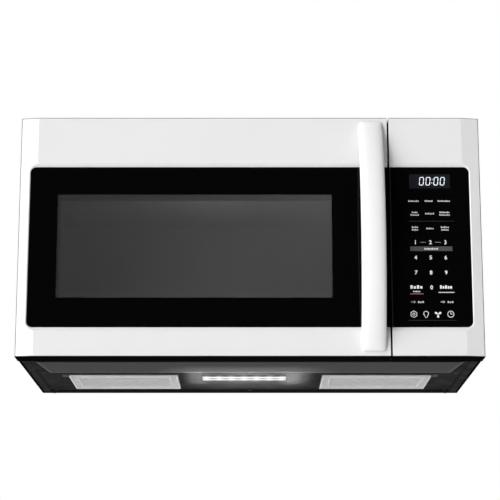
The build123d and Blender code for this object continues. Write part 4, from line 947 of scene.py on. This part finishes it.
def inkBlades(look):
    # each blade is a rounded petal: its width grows along its length as sin to a power, and it is
    # turned to its angle about the hub
    t = np.linspace(0, math.pi, 9)
    along = look["hub"] + look["length"] * (1 - np.cos(t)) / 2
    wide = look["half"] * np.sin(t) ** look["fullness"]
    u = np.concatenate([along, along[::-1][1:-1]])
    v = np.concatenate([wide, -wide[::-1][1:-1]])
    for n in range(look["blades"]):
        angle = math.pi / 2 + 2 * math.pi / look["blades"] * (n + 0.5)
        c, s = math.cos(angle), math.sin(angle)
        inked("white", np.stack([look["x"] + u * c - v * s, look["z"] + u * s + v * c], 1) * mm)


def inkFigure(kind, text, x, z, height):
    # a figure from Blender's own font as a thin flat mesh, centred on its place
    font = printLook["font"]
    curve = bpy.data.curves.new("figure", "FONT")
    curve.body = text
    curve.align_x = "CENTER"
    curve.size = height / font["digitShare"] * mm
    curve.offset = font["bolder"] * height * mm
    curve.extrude = printLook["thickness"] * mm / 2
    curve.resolution_u = 4
    holder = linked("figure", curve)
    bpy.context.view_layer.update()
    mesh = bpy.data.meshes.new_from_object(holder.evaluated_get(bpy.context.evaluated_depsgraph_get()))
    bpy.data.objects.remove(holder)
    flat = pointsOf(mesh)
    tall = flat[:, 1].max() + flat[:, 1].min()
    depth = (glassFront + inkFront) / 2
    placed = np.stack([x * mm + flat[:, 0], depth - flat[:, 2], z * mm + flat[:, 1] - tall / 2], 1)
    mesh.vertices.foreach_set("co", placed.ravel())
    mesh.materials.clear()
    work = bmesh.new()
    work.from_mesh(mesh)
    bmesh.ops.remove_doubles(work, verts=work.verts, dist=0.001 * mm)
    work.to_mesh(mesh)
    work.free()
    printParts[kind].append(outward(mesh))


def panelPrint():
    # all the panel's print, as one piece of each colour
    look = printLook
    for columns, z, keys in look["keyRows"]:
        for x, lines in zip(look[columns], keys):
            for n, (width, letters) in enumerate(lines):
                up = ((len(lines) - 1) / 2 - n) * look["lineStep"]
                inkWord("grey", x, z + up, width, letters, look["letterHeight"])
    for z, digits in look["numberRows"]:
        for x, digit in zip(look["keyColumns"], digits):
            inkFigure("white", digit, x, z, look["digitHeight"])
    for figure in look["figures"]:
        inkFigure(*figure)
    for word in look["words"]:
        inkWord(*word)
    for bar in look["bars"]:
        inkBar(*bar)
    dashes = look["dashes"]
    for n in range(dashes["count"]):
        inkBar("red", dashes["x"] + n * dashes["pitch"], dashes["z"], *dashes["size"], dashes["ease"])
    for ring in look["rings"]:
        inkRing(*ring)
    inkBlades(look["fan"])
    for kind, color in look["colors"].items():
        mesh = joined("panel_print_" + kind, printParts[kind])
        addPiece(mesh, "cabinet", printInk("print " + kind, color))


displayLook = {
    "lefts": (278.9, 289.6, 302.7, 313.2), "low": 285.9, "high": 298.9, "width": 7.4, "stroke": 1.05,
    "lean": 0.10, "endGap": 0.4, "middleGap": 0.3, "colonX": 299.425, "colonRise": 3.0, "colonHalf": 0.85,
    "color": (0.70, 0.80, 1.0), "strength": 0.75,
}
paneLook = {
    "low": (262.6, 280.1), "high": (329.4, 304.1), "thickness": 0.02, "color": (0.0105, 0.0115, 0.014),
}


def litStroke(x0, z0, x1, z1):
    # a six-sided bar from end to end, leaning with its height
    look = displayLook
    a, b = np.array([x0, z0]), np.array([x1, z1])
    tip = (b - a) / np.linalg.norm(b - a) * look["stroke"] / 2
    side = np.array([-tip[1], tip[0]])
    outline = np.array([a, a + tip + side, b - tip + side, b, b - tip - side, a + tip - side])
    outline[:, 0] += (outline[:, 1] - look["low"]) * look["lean"]
    return prismMesh("stroke", outline * mm, (inkFront, glassFront), "y")


def displayFigures():
    # four lit figures and a colon: each figure is six strokes of a leaning box, the middle one dark
    look = displayLook
    low, high, end, gap = [look[key] for key in ("low", "high", "endGap", "middleGap")]
    middle = (low + high) / 2
    strokes = []
    for left in look["lefts"]:
        right = left + look["width"] - look["stroke"]
        for x in (left, right):
            strokes += [(x, low + end, x, middle - gap), (x, middle + gap, x, high - end)]
        strokes += [(left + gap, z, right - gap, z) for z in (low, high)]
    for z in (middle - look["colonRise"], middle + look["colonRise"]):
        strokes.append((look["colonX"], z - look["colonHalf"], look["colonX"], z + look["colonHalf"]))
    mesh = joined("display_figures", [litStroke(*ends) for ends in strokes])
    addPiece(mesh, "cabinet", glowing("lit figures", look["color"], look["strength"]))


def displayPane():
    # the dark pane behind the figures
    look = paneLook
    (x0, z0), (x1, z1) = look["low"], look["high"]
    low = (x0 * mm, glassFront - look["thickness"] * mm, z0 * mm)
    mesh = boxMesh("display_pane", low, (x1 * mm, glassFront, z1 * mm))
    material = newMaterial("display pane", look["color"], 0.2)
    worn(material, (0.15, 0.25), scale=60, detail=3)
    addPiece(mesh, "cabinet", material)


panelPrint()
displayFigures()
displayPane()
print("panel print made")


# Grease filters

filterLook = {
    # the core and the sunk band take darker copies of the aluminium: painted shade
    "thickness": 9, "corner": 1.2, "rolled": 4.5, "paintedLightScale": 0.78, "bandPaintedShade": 0.86,
    "bead": {"side": 12.4, "front": 13.0, "rear": 21.0, "width": 3.4},
    # in from the bead's outer foot, and height
    "beadRings": ((3.4, 2.5), (3.25, 0.9), (2.7, 0.35), (0.8, 0.35), (0.25, 0.9), (0, 1.6)),
    # in from the sides and the front, in from the rear, and height
    "lipRings": ((3.1, 7.2, 1.6), (2.9, 7.0, 0.25), (2.6, 6.6, 0), (0.5, 4.5, 0)),
    "topRings": ((0.5, 4.5, 9), (11, 14, 9), (11.3, 14.3, 8.6), (11.3, 14.3, 6.5)),
    "band": {"side": 3.2, "rear": 7.4, "gap": 0.1, "height": 1.15, "cell": 3.4},
    "core": {"heights": (1.55, 2.1), "cells": (5.0, 6.75)},
    "top": {"side": 11.5, "rear": 14.5, "height": 7.0, "cell": 5.0},
    "strand": {"wire": 0.8, "mostShare": 0.2, "swing": 0.46, "lift": 0.25},
    "tab": {
        "place": 0.16, "half": 9, "front": 2, "rear": 9, "corner": 1.5, "overlap": 0.2,
        "rings": ((0, 0.4), (0.3, 0.05), (0.6, 0)),
    },
}


def filterSection():
    # the frame's section as rings: how far in from the sides, the front and the rear, and how high;
    # from the core it runs down the pressed bead and the sunk band to the lip, and its rear is rolled
    look = filterLook
    bead, rolled = look["bead"], look["rolled"]
    section = []
    for across, height in look["beadRings"]:
        section.append((bead["side"] + across, bead["front"] + across, bead["rear"] + across, height))
    section += [(side, side, rear, height) for side, rear, height in look["lipRings"]]
    for angle in np.radians(np.linspace(-80, 80, 9)):
        section.append((0, 0, rolled * (1 - math.cos(angle)), rolled * (1 + math.sin(angle))))
    section += [(side, side, rear, height) for side, rear, height in look["topRings"]]
    return section


def filterTab(low, high, bottom, body):
    # a small pull tab under the front edge, near the filter's outer side: a rounded outline carried
    # down and drawn in at its foot
    tab = filterLook["tab"]
    place = tab["place"] if body == "filter_left" else 1 - tab["place"]
    x = low[0] + (high[0] - low[0]) * place
    sides = (x - tab["half"], x + tab["half"], low[1] + tab["front"], low[1] + tab["rear"])
    outline = roundedOutline(*sides, tab["corner"], 4)
    middle = outline.mean(0)
    rings = [ringAt(outline, bottom + tab["overlap"]) * mm]
    for inset, height in tab["rings"]:
        rings.append(ringAt(middle + (outline - middle) * (1 - inset / tab["half"]), low[2] + height) * mm)
    return loftedMesh("tab", rings, 40)


def filterFrame(nodeName, body):
    # each ring is a rounded outline set in from the filter's sides by the section, so the section is
    # carried round the filter; the band and the core take darker copies of the aluminium as painted shade
    look = filterLook
    low, high = [np.array(corner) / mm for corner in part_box(nodeName)]
    bottom = high[2] - look["thickness"]
    rings = []
    for side, front, rear, z in filterSection():
        sides = (low[0] + side, high[0] - side, low[1] + front, high[1] - rear)
        rings.append(ringAt(roundedOutline(*sides, look["corner"], 3), bottom + z) * mm)
    frameMesh = loftedMesh("rolled frame", rings)
    size = len(rings[0])
    paintedShadeSlots = np.zeros(len(frameMesh.polygons), np.int32)
    paintedShadeSlots[5 * size:6 * size] = 1  # the sunk band
    paintedShadeSlots[-2:] = 2  # the core, both sides
    tabMesh = filterTab(low, high, bottom, body)
    paintedShadeSlots = np.concatenate([paintedShadeSlots, np.zeros(len(tabMesh.polygons), np.int32)])
    mesh = joined(nodeName + "_frame", [frameMesh, tabMesh])
    skin = addPiece(mesh, body, finish("filter_aluminium"))
    mesh.materials.append(aluminium(nodeName + " band", look["bandPaintedShade"]))
    mesh.materials.append(aluminium(nodeName + " core", look["paintedLightScale"]))
    mesh.polygons.foreach_set("material_index", paintedShadeSlots)
    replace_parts(skin, nodeName)


def filterSheets(nodeName, body):
    # expanded metal: over the sunk band, at two heights over the core's underside and over its top
    band, core, top = [filterLook[key] for key in ("band", "core", "top")]
    side, front, rear, foot = [filterLook["bead"][key] for key in ("side", "front", "rear", "width")]
    low, high = [np.array(corner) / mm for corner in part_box(nodeName)]
    x0, x1, y0, y1 = low[0], high[0], low[1], high[1]
    bottom = high[2] - filterLook["thickness"]
    gap, outer, z = band["gap"], band["side"], bottom + band["height"]
    inner = (x0 + side + foot, x1 - side - foot, y0 + front + foot, y1 - rear - foot)
    across = (x0 + side + gap, x1 - side - gap)
    along = (y0 + outer, y1 - band["rear"])
    areas = [
        (x0 + outer, x0 + side - gap, *along, z, band["cell"]),
        (x1 - side + gap, x1 - outer, *along, z, band["cell"]),
        (*across, along[0], y0 + front - gap, z, band["cell"]),
        (*across, y1 - rear + gap, along[1], z, band["cell"]),
    ]
    for height, cell in zip(core["heights"], core["cells"]):
        areas.append((*inner, bottom + height, cell))
    inset = top["side"]
    over = (x0 + inset, x1 - inset, y0 + inset, y1 - top["rear"])
    areas.append((*over, bottom + top["height"], top["cell"]))
    sheets = [strandSheet(*[value * mm for value in area]) for area in areas]
    addPiece(joined(nodeName + "_mesh", sheets), body, finish("filter_aluminium"))


def strandSheet(x0, x1, y0, y1, z, cell):
    # square strands along x that swing in y as zigzags, neighbours the other way, and rise and fall by
    # the lift where they meet
    look = filterLook["strand"]
    wire = min(look["wire"] * mm, cell * look["mostShare"])
    columns = max(int((x1 - x0) / cell), 1)
    rows = max(int((y1 - y0) / cell), 1)
    count = 2 * columns + 1
    even = np.where(np.arange(count) % 2 == 0, 1.0, -1.0)
    sign = np.where(np.arange(rows) % 2 == 0, 1.0, -1.0)[:, None]
    centre = y0 + (np.arange(rows) + 0.5) * (y1 - y0) / rows
    y = centre[:, None] - sign * even * cell * look["swing"] / 2
    height = z + sign * even * look["lift"] * mm
    corner = np.array([[-0.5, -0.5], [0.5, -0.5], [0.5, 0.5], [-0.5, 0.5]]) * wire
    points = np.empty((rows, count, 4, 3))
    points[..., 0] = np.linspace(x0, x1, count)[None, :, None]
    points[..., 1] = y[:, :, None] + corner[:, 0]
    points[..., 2] = height[:, :, None] + corner[:, 1]
    faces = []
    for start in range(0, rows * count * 4, count * 4):
        faces += gridFaces(count, 4, False, True, start)
        faces.append([start + k for k in range(4)])
        faces.append([start + (count - 1) * 4 + k for k in range(4)][::-1])
    return outward(meshOf("strands", points.reshape(-1, 3), faces), 20)


catchLook = {
    "gap": 1.2, "width": 9.5, "ahead": 12, "length": 24, "above": 3.4, "thickness": 1.3, "corner": 1.5,
}


def filterCatches():
    # a small pressed catch on the plate beside each filter's outer front corner: a rounded outline
    # carried up by its thickness
    look = {key: size * mm for key, size in catchLook.items()}
    parts = []
    for nodeName, side in (("grease_filter_left", -1), ("grease_filter_right", 1)):
        low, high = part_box(nodeName)
        near = (low.x if side < 0 else high.x) + side * look["gap"]
        x0, x1 = sorted((near, near + side * look["width"]))
        front, top = low.y - look["ahead"], low.z + look["above"]
        outline = roundedOutline(x0, x1, front, front + look["length"], look["corner"], 4)
        parts.append(prismMesh("catch", outline, (top - look["thickness"], top)))
    addPiece(joined("filter_catches", parts), "cabinet", finish("catch_steel"))


filterCatches()
for nodeName, body in (("grease_filter_left", "filter_left"), ("grease_filter_right", "filter_right")):
    filterFrame(nodeName, body)
    filterSheets(nodeName, body)
print("filters made")


# Cooktop lamp: domes on the board's diodes

lampLook = {"radius": 2.4, "depth": 1.5, "margin": 2.5, "color": (1.0, 0.98, 0.94), "strength": 60}


def lampDomes():
    # each dome is a half ellipse turned about z, at the spacing of the lens's bright spots
    look = lampLook
    low, high = [np.array(corner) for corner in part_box("cooktop_lamp_board")]
    middle = (low + high) / 2
    pitch = lensLook["pitch"] * mm
    count = int((high[0] - low[0] - 2 * look["margin"] * mm) / pitch) + 1
    t = np.linspace(0.02, math.pi / 2, 7)
    profile = np.stack([look["radius"] * mm * np.sin(t), -look["depth"] * mm * np.cos(t)], 1)
    domes = []
    for n in range(count):
        x = middle[0] + (n - (count - 1) / 2) * pitch
        domes.append(revolvedMesh("dome", profile, (x, middle[1], low[2]), 16))
    material = glowing("lit diodes", look["color"], look["strength"])
    addPiece(joined("lamp_domes", domes), "cabinet", material)


lampDomes()
print("lamp made")


# Screws and feet

screwLook = {
    "half": 2.9, "sides": 48, "across": 12, "roofAbove": 200,
    # radius in mm, or against the hexagon; height in mm; whether the ring is a hexagon
    "rings": (
        (3.95, 0.0, False), (3.95, 0.25, False), (3.5, 0.42, False), (3.3, 0.45, False),
        (1.0, 0.45, True), (1.0, 1.28, True), (0.92, 1.38, True), (0.6, 1.38, True), (0.5, 1.2, True),
    ),
}
footLook = {"ease": 1.0, "sole": 0.5}


def screwHead(x, y, seat, up):
    # radius at angle a: a circle for the washer's rings, and for the head's rings the hexagon
    # half / cos(a folded to one side); the washer's low dome, then the head with a dished top
    sides = screwLook["sides"]
    a = np.arange(sides) * 2 * math.pi / sides
    hexagon = screwLook["half"] / np.cos(np.mod(a, math.pi / 3) - math.pi / 6)
    rings = []
    for size, height, isHexagon in screwLook["rings"]:
        r = hexagon * size if isHexagon else np.full(sides, size)
        outline = np.stack([x + r * np.cos(a) * mm, y + r * np.sin(a) * mm], 1)
        rings.append(ringAt(outline, seat + up * height * mm))
    return loftedMesh("screw", rings, 25)


def screwHeads():
    # a hexagon head on a round washer in place of each of the node's screws, found one by one as the
    # points that lie near the first one left; those in the roof stand up, the others down
    look = screwLook
    points = np.unique(np.round(pointsOf(frame["nodes"]["cabinet_screws"].data), 6), axis=0)
    heads = []
    while len(points):
        near = np.linalg.norm(points - points[0], axis=1) < look["across"] * mm
        screw = points[near]
        points = points[~near]
        centre = (screw.min(0) + screw.max(0)) / 2
        up = 1.0 if centre[2] > look["roofAbove"] * mm else -1.0
        seat = screw[:, 2].min() if up > 0 else screw[:, 2].max()
        heads.append(screwHead(centre[0], centre[1], seat, up))
    mesh = joined("cabinet_screw_heads", heads)
    piece = addPiece(mesh, "cabinet", finish("black_screw"))
    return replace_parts(piece, "cabinet_screws")


def rearFeet():
    # a moulded foot: a disc turned about z, whose lower edge is a quarter circle of the ease
    low, high = [np.array(corner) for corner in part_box("rear_feet")]
    radius = (high[1] - low[1]) / 2
    ease = footLook["ease"] * mm
    profile = [(radius, high[2])]
    for a in np.linspace(0, math.pi / 2, 6):
        profile.append((radius - ease + ease * math.cos(a), low[2] + ease - ease * math.sin(a)))
    profile.append((radius * footLook["sole"], low[2]))
    feet = []
    for x in (low[0] + radius, high[0] - radius):
        feet.append(revolvedMesh("foot", profile, (x, (low[1] + high[1]) / 2, 0), 40))
    piece = addPiece(joined("rear_feet_moulded", feet), "cabinet", finish("rubber"))
    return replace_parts(piece, "rear_feet")


screwHeads()
rearFeet()
print("screws and feet made")


# Camera, floor, lights

cameraLook = {"away": 2.7444, "height": -0.4796, "pitch": 13.417, "lens": 124.5}
floorLook = {"height": -3.4, "half": 90, "color": (0.86, 0.86, 0.86), "fade": (4.5, 20)}
suns = {
    # degrees left of the front, above the horizon and across, and strength
    "key": {"side": 50, "height": 17, "spread": 50, "power": 3.08},
    "rear": {"side": -150, "height": 35, "spread": 40, "power": 1.6},
}
stripLook = {"place": (-1.75, -3.3, -0.35), "aim": (0.1, -0.4, 0.2), "size": (0.55, 2.2), "power": 23}


def setCamera():
    data = bpy.data.cameras.new("camera")
    data.lens = cameraLook["lens"]
    data.sensor_width = 36
    data.clip_end = 300
    camera = linked("camera", data)
    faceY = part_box("door_frame")[0].y
    camera.location = (0, faceY - cameraLook["away"], cameraLook["height"])
    camera.rotation_euler = (math.radians(90 + cameraLook["pitch"]), 0, 0)
    bpy.context.scene.camera = camera


def setFloor():
    # the floor pales with distance into the white backdrop, and from beneath it can't be seen
    h, z = floorLook["half"], floorLook["height"]
    mesh = meshOf("floor", [(-h, -h, z), (h, -h, z), (h, h, z), (-h, h, z)], [[0, 1, 2, 3]])
    floor = linked("floor", mesh)
    material = newMaterial("floor", floorLook["color"], 0.8)
    worn(material, (0.7, 0.9), scale=5, detail=3)
    reach = node(material, "ShaderNodeVectorMath", {0: objectPlace(material)}, operation="LENGTH")
    fade = ranged(material, reach.outputs["Value"], *floorLook["fade"], ease="SMOOTHSTEP")
    path = node(material, "ShaderNodeLightPath").outputs
    seen = maths(material, "MAXIMUM", path["Is Camera Ray"], path["Is Transmission Ray"])
    white = node(material, "ShaderNodeEmission", {"Color": (1, 1, 1, 1), "Strength": 1.0}).outputs[0]
    behind = node(material, "ShaderNodeNewGeometry").outputs["Backfacing"]
    clear = node(material, "ShaderNodeBsdfTransparent").outputs[0]
    paint = shaderOf(material).outputs[0]
    paled = node(material, "ShaderNodeMixShader", {0: times(material, fade, seen), 1: paint, 2: white})
    ending = node(material, "ShaderNodeMixShader", {0: behind, 1: paled.outputs[0], 2: clear})
    connect(material, ending.outputs[0], material.node_tree.nodes["Material Output"].inputs["Surface"])
    mesh.materials.append(material)


def newLamp(name, kind, power):
    data = bpy.data.lights.new(name, kind)
    data.energy = power
    return linked(name, data)


def turnTo(lamp, toLamp):
    # a lamp shines down its own z, so its z is turned to where it shines from
    lamp.rotation_euler = toLamp.to_track_quat("Z", "Y").to_euler()


def setSuns():
    for name, look in suns.items():
        sun = newLamp(name, "SUN", look["power"])
        sun.data.angle = math.radians(look["spread"])
        side, height = math.radians(look["side"]), math.radians(look["height"])
        flat = math.cos(height)
        turnTo(sun, Vector((-math.sin(side) * flat, -math.cos(side) * flat, math.sin(height))))


def setStrip():
    # a tall soft light low on the left, which rounds the handle
    lamp = newLamp("strip", "AREA", stripLook["power"])
    lamp.data.shape = "RECTANGLE"
    lamp.data.size, lamp.data.size_y = stripLook["size"]
    lamp.location = stripLook["place"]
    turnTo(lamp, Vector(stripLook["place"]) - Vector(stripLook["aim"]))
    lamp.visible_camera = False


nearLamps = {
    "cavity": {"inward": 150, "drop": 130, "radius": 50, "power": 1.75},
    "drop": 110,
    "cones": {
        "over the lens": {"places": (-34, 4, 44), "ahead": 0, "cone": 77, "power": 8.5},
        "over the panel": {"places": (-96, -64, -32, 0, 32, 64, 96), "ahead": 84, "cone": 62, "power": 0.46},
        "behind the lens": {"places": (-58, -28, 6, 42, 78), "ahead": -82, "cone": 60, "power": 1.75},
    },
    "coneRadius": 4,
    "beside": {"ahead": -5, "depth": 130, "spread": 28},
    "strips": {
        "left": {"place": -80, "width": 8, "power": 0.25},
        "right": {"place": 86, "width": 26, "power": 0.35},
    },
}


def setCavityLamp():
    # a soft lamp inside the cavity, inward of its own small bulb and below it
    look = nearLamps["cavity"]
    low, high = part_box("cavity_lamp")
    x = (low.x + high.x) / 2 - look["inward"] * mm
    bulb = nearLamp("cavity", "POINT", look["power"], (x, (low.y + high.y) / 2, low.z - look["drop"] * mm))
    bulb.shadow_soft_size = look["radius"] * mm


def setGlow():
    # soft cones that shine up round the cooktop lamp's lens, behind it and on the pressed panel ahead
    # of it, and a narrow strip beside each of its ends, which spread its glow over the plate
    low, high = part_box("cooktop_lamp_lens")
    x, y = (low.x + high.x) / 2, (low.y + high.y) / 2
    z = low.z - nearLamps["drop"] * mm
    for name, look in nearLamps["cones"].items():
        for place in look["places"]:
            spot = (x + place * mm, y - look["ahead"] * mm, z)
            cone = nearLamp("glow " + name, "SPOT", look["power"], spot)
            cone.spot_size = math.radians(look["cone"])
            cone.spot_blend = 1.0
            cone.shadow_soft_size = nearLamps["coneRadius"] * mm
    beside = nearLamps["beside"]
    for name, look in nearLamps["strips"].items():
        spot = (x + look["place"] * mm, y - beside["ahead"] * mm, z)
        strip = nearLamp("glow " + name, "AREA", look["power"], spot)
        strip.shape = "RECTANGLE"
        strip.size = look["width"] * mm
        strip.size_y = beside["depth"] * mm
        strip.spread = math.radians(beside["spread"])


def nearLamp(name, kind, power, place):
    # it shines upwards and lights only what is near: no ray meets the lamp itself
    lamp = newLamp(name, kind, power)
    lamp.location = place
    lamp.rotation_euler = (math.pi, 0, 0)
    lamp.visible_camera = False
    lamp.visible_glossy = False
    lamp.visible_transmission = False
    return lamp.data


worldLook = {"dim": 0.12, "gloss": 0.01, "behind": 0.3, "edge": 0.3}


def setWorld():
    # white where the camera looks, and behind the object for gloss and glass too; dim elsewhere
    look = worldLook
    world = bpy.data.worlds.new("studio")
    bpy.context.scene.world = world
    world.use_nodes = True
    sky = world.node_tree.nodes["Background"]
    path = node(world, "ShaderNodeLightPath").outputs
    way = node(world, "ShaderNodeTexCoord").outputs["Generated"]
    depth = node(world, "ShaderNodeSeparateXYZ", {"Vector": way}).outputs["Y"]
    behind = ranged(world, depth, 0.0, look["edge"])
    mirrored = maths(world, "MAXIMUM", path["Is Glossy Ray"], path["Is Transmission Ray"])
    glossy = ranged(world, behind, 0.0, 1.0, look["gloss"], look["behind"])
    rest = times(world, minus(world, 1.0, mirrored), look["dim"])
    seen = plus(world, rest, times(world, mirrored, glossy))
    connect(world, (1, 1, 1, 1), sky.inputs["Color"])
    connect(world, maths(world, "MAXIMUM", path["Is Camera Ray"], seen), sky.inputs["Strength"])


setCamera()
setFloor()
setSuns()
setStrip()
setCavityLamp()
setGlow()
setWorld()
bpy.context.scene.view_settings.view_transform = "Standard"
print("scene set")
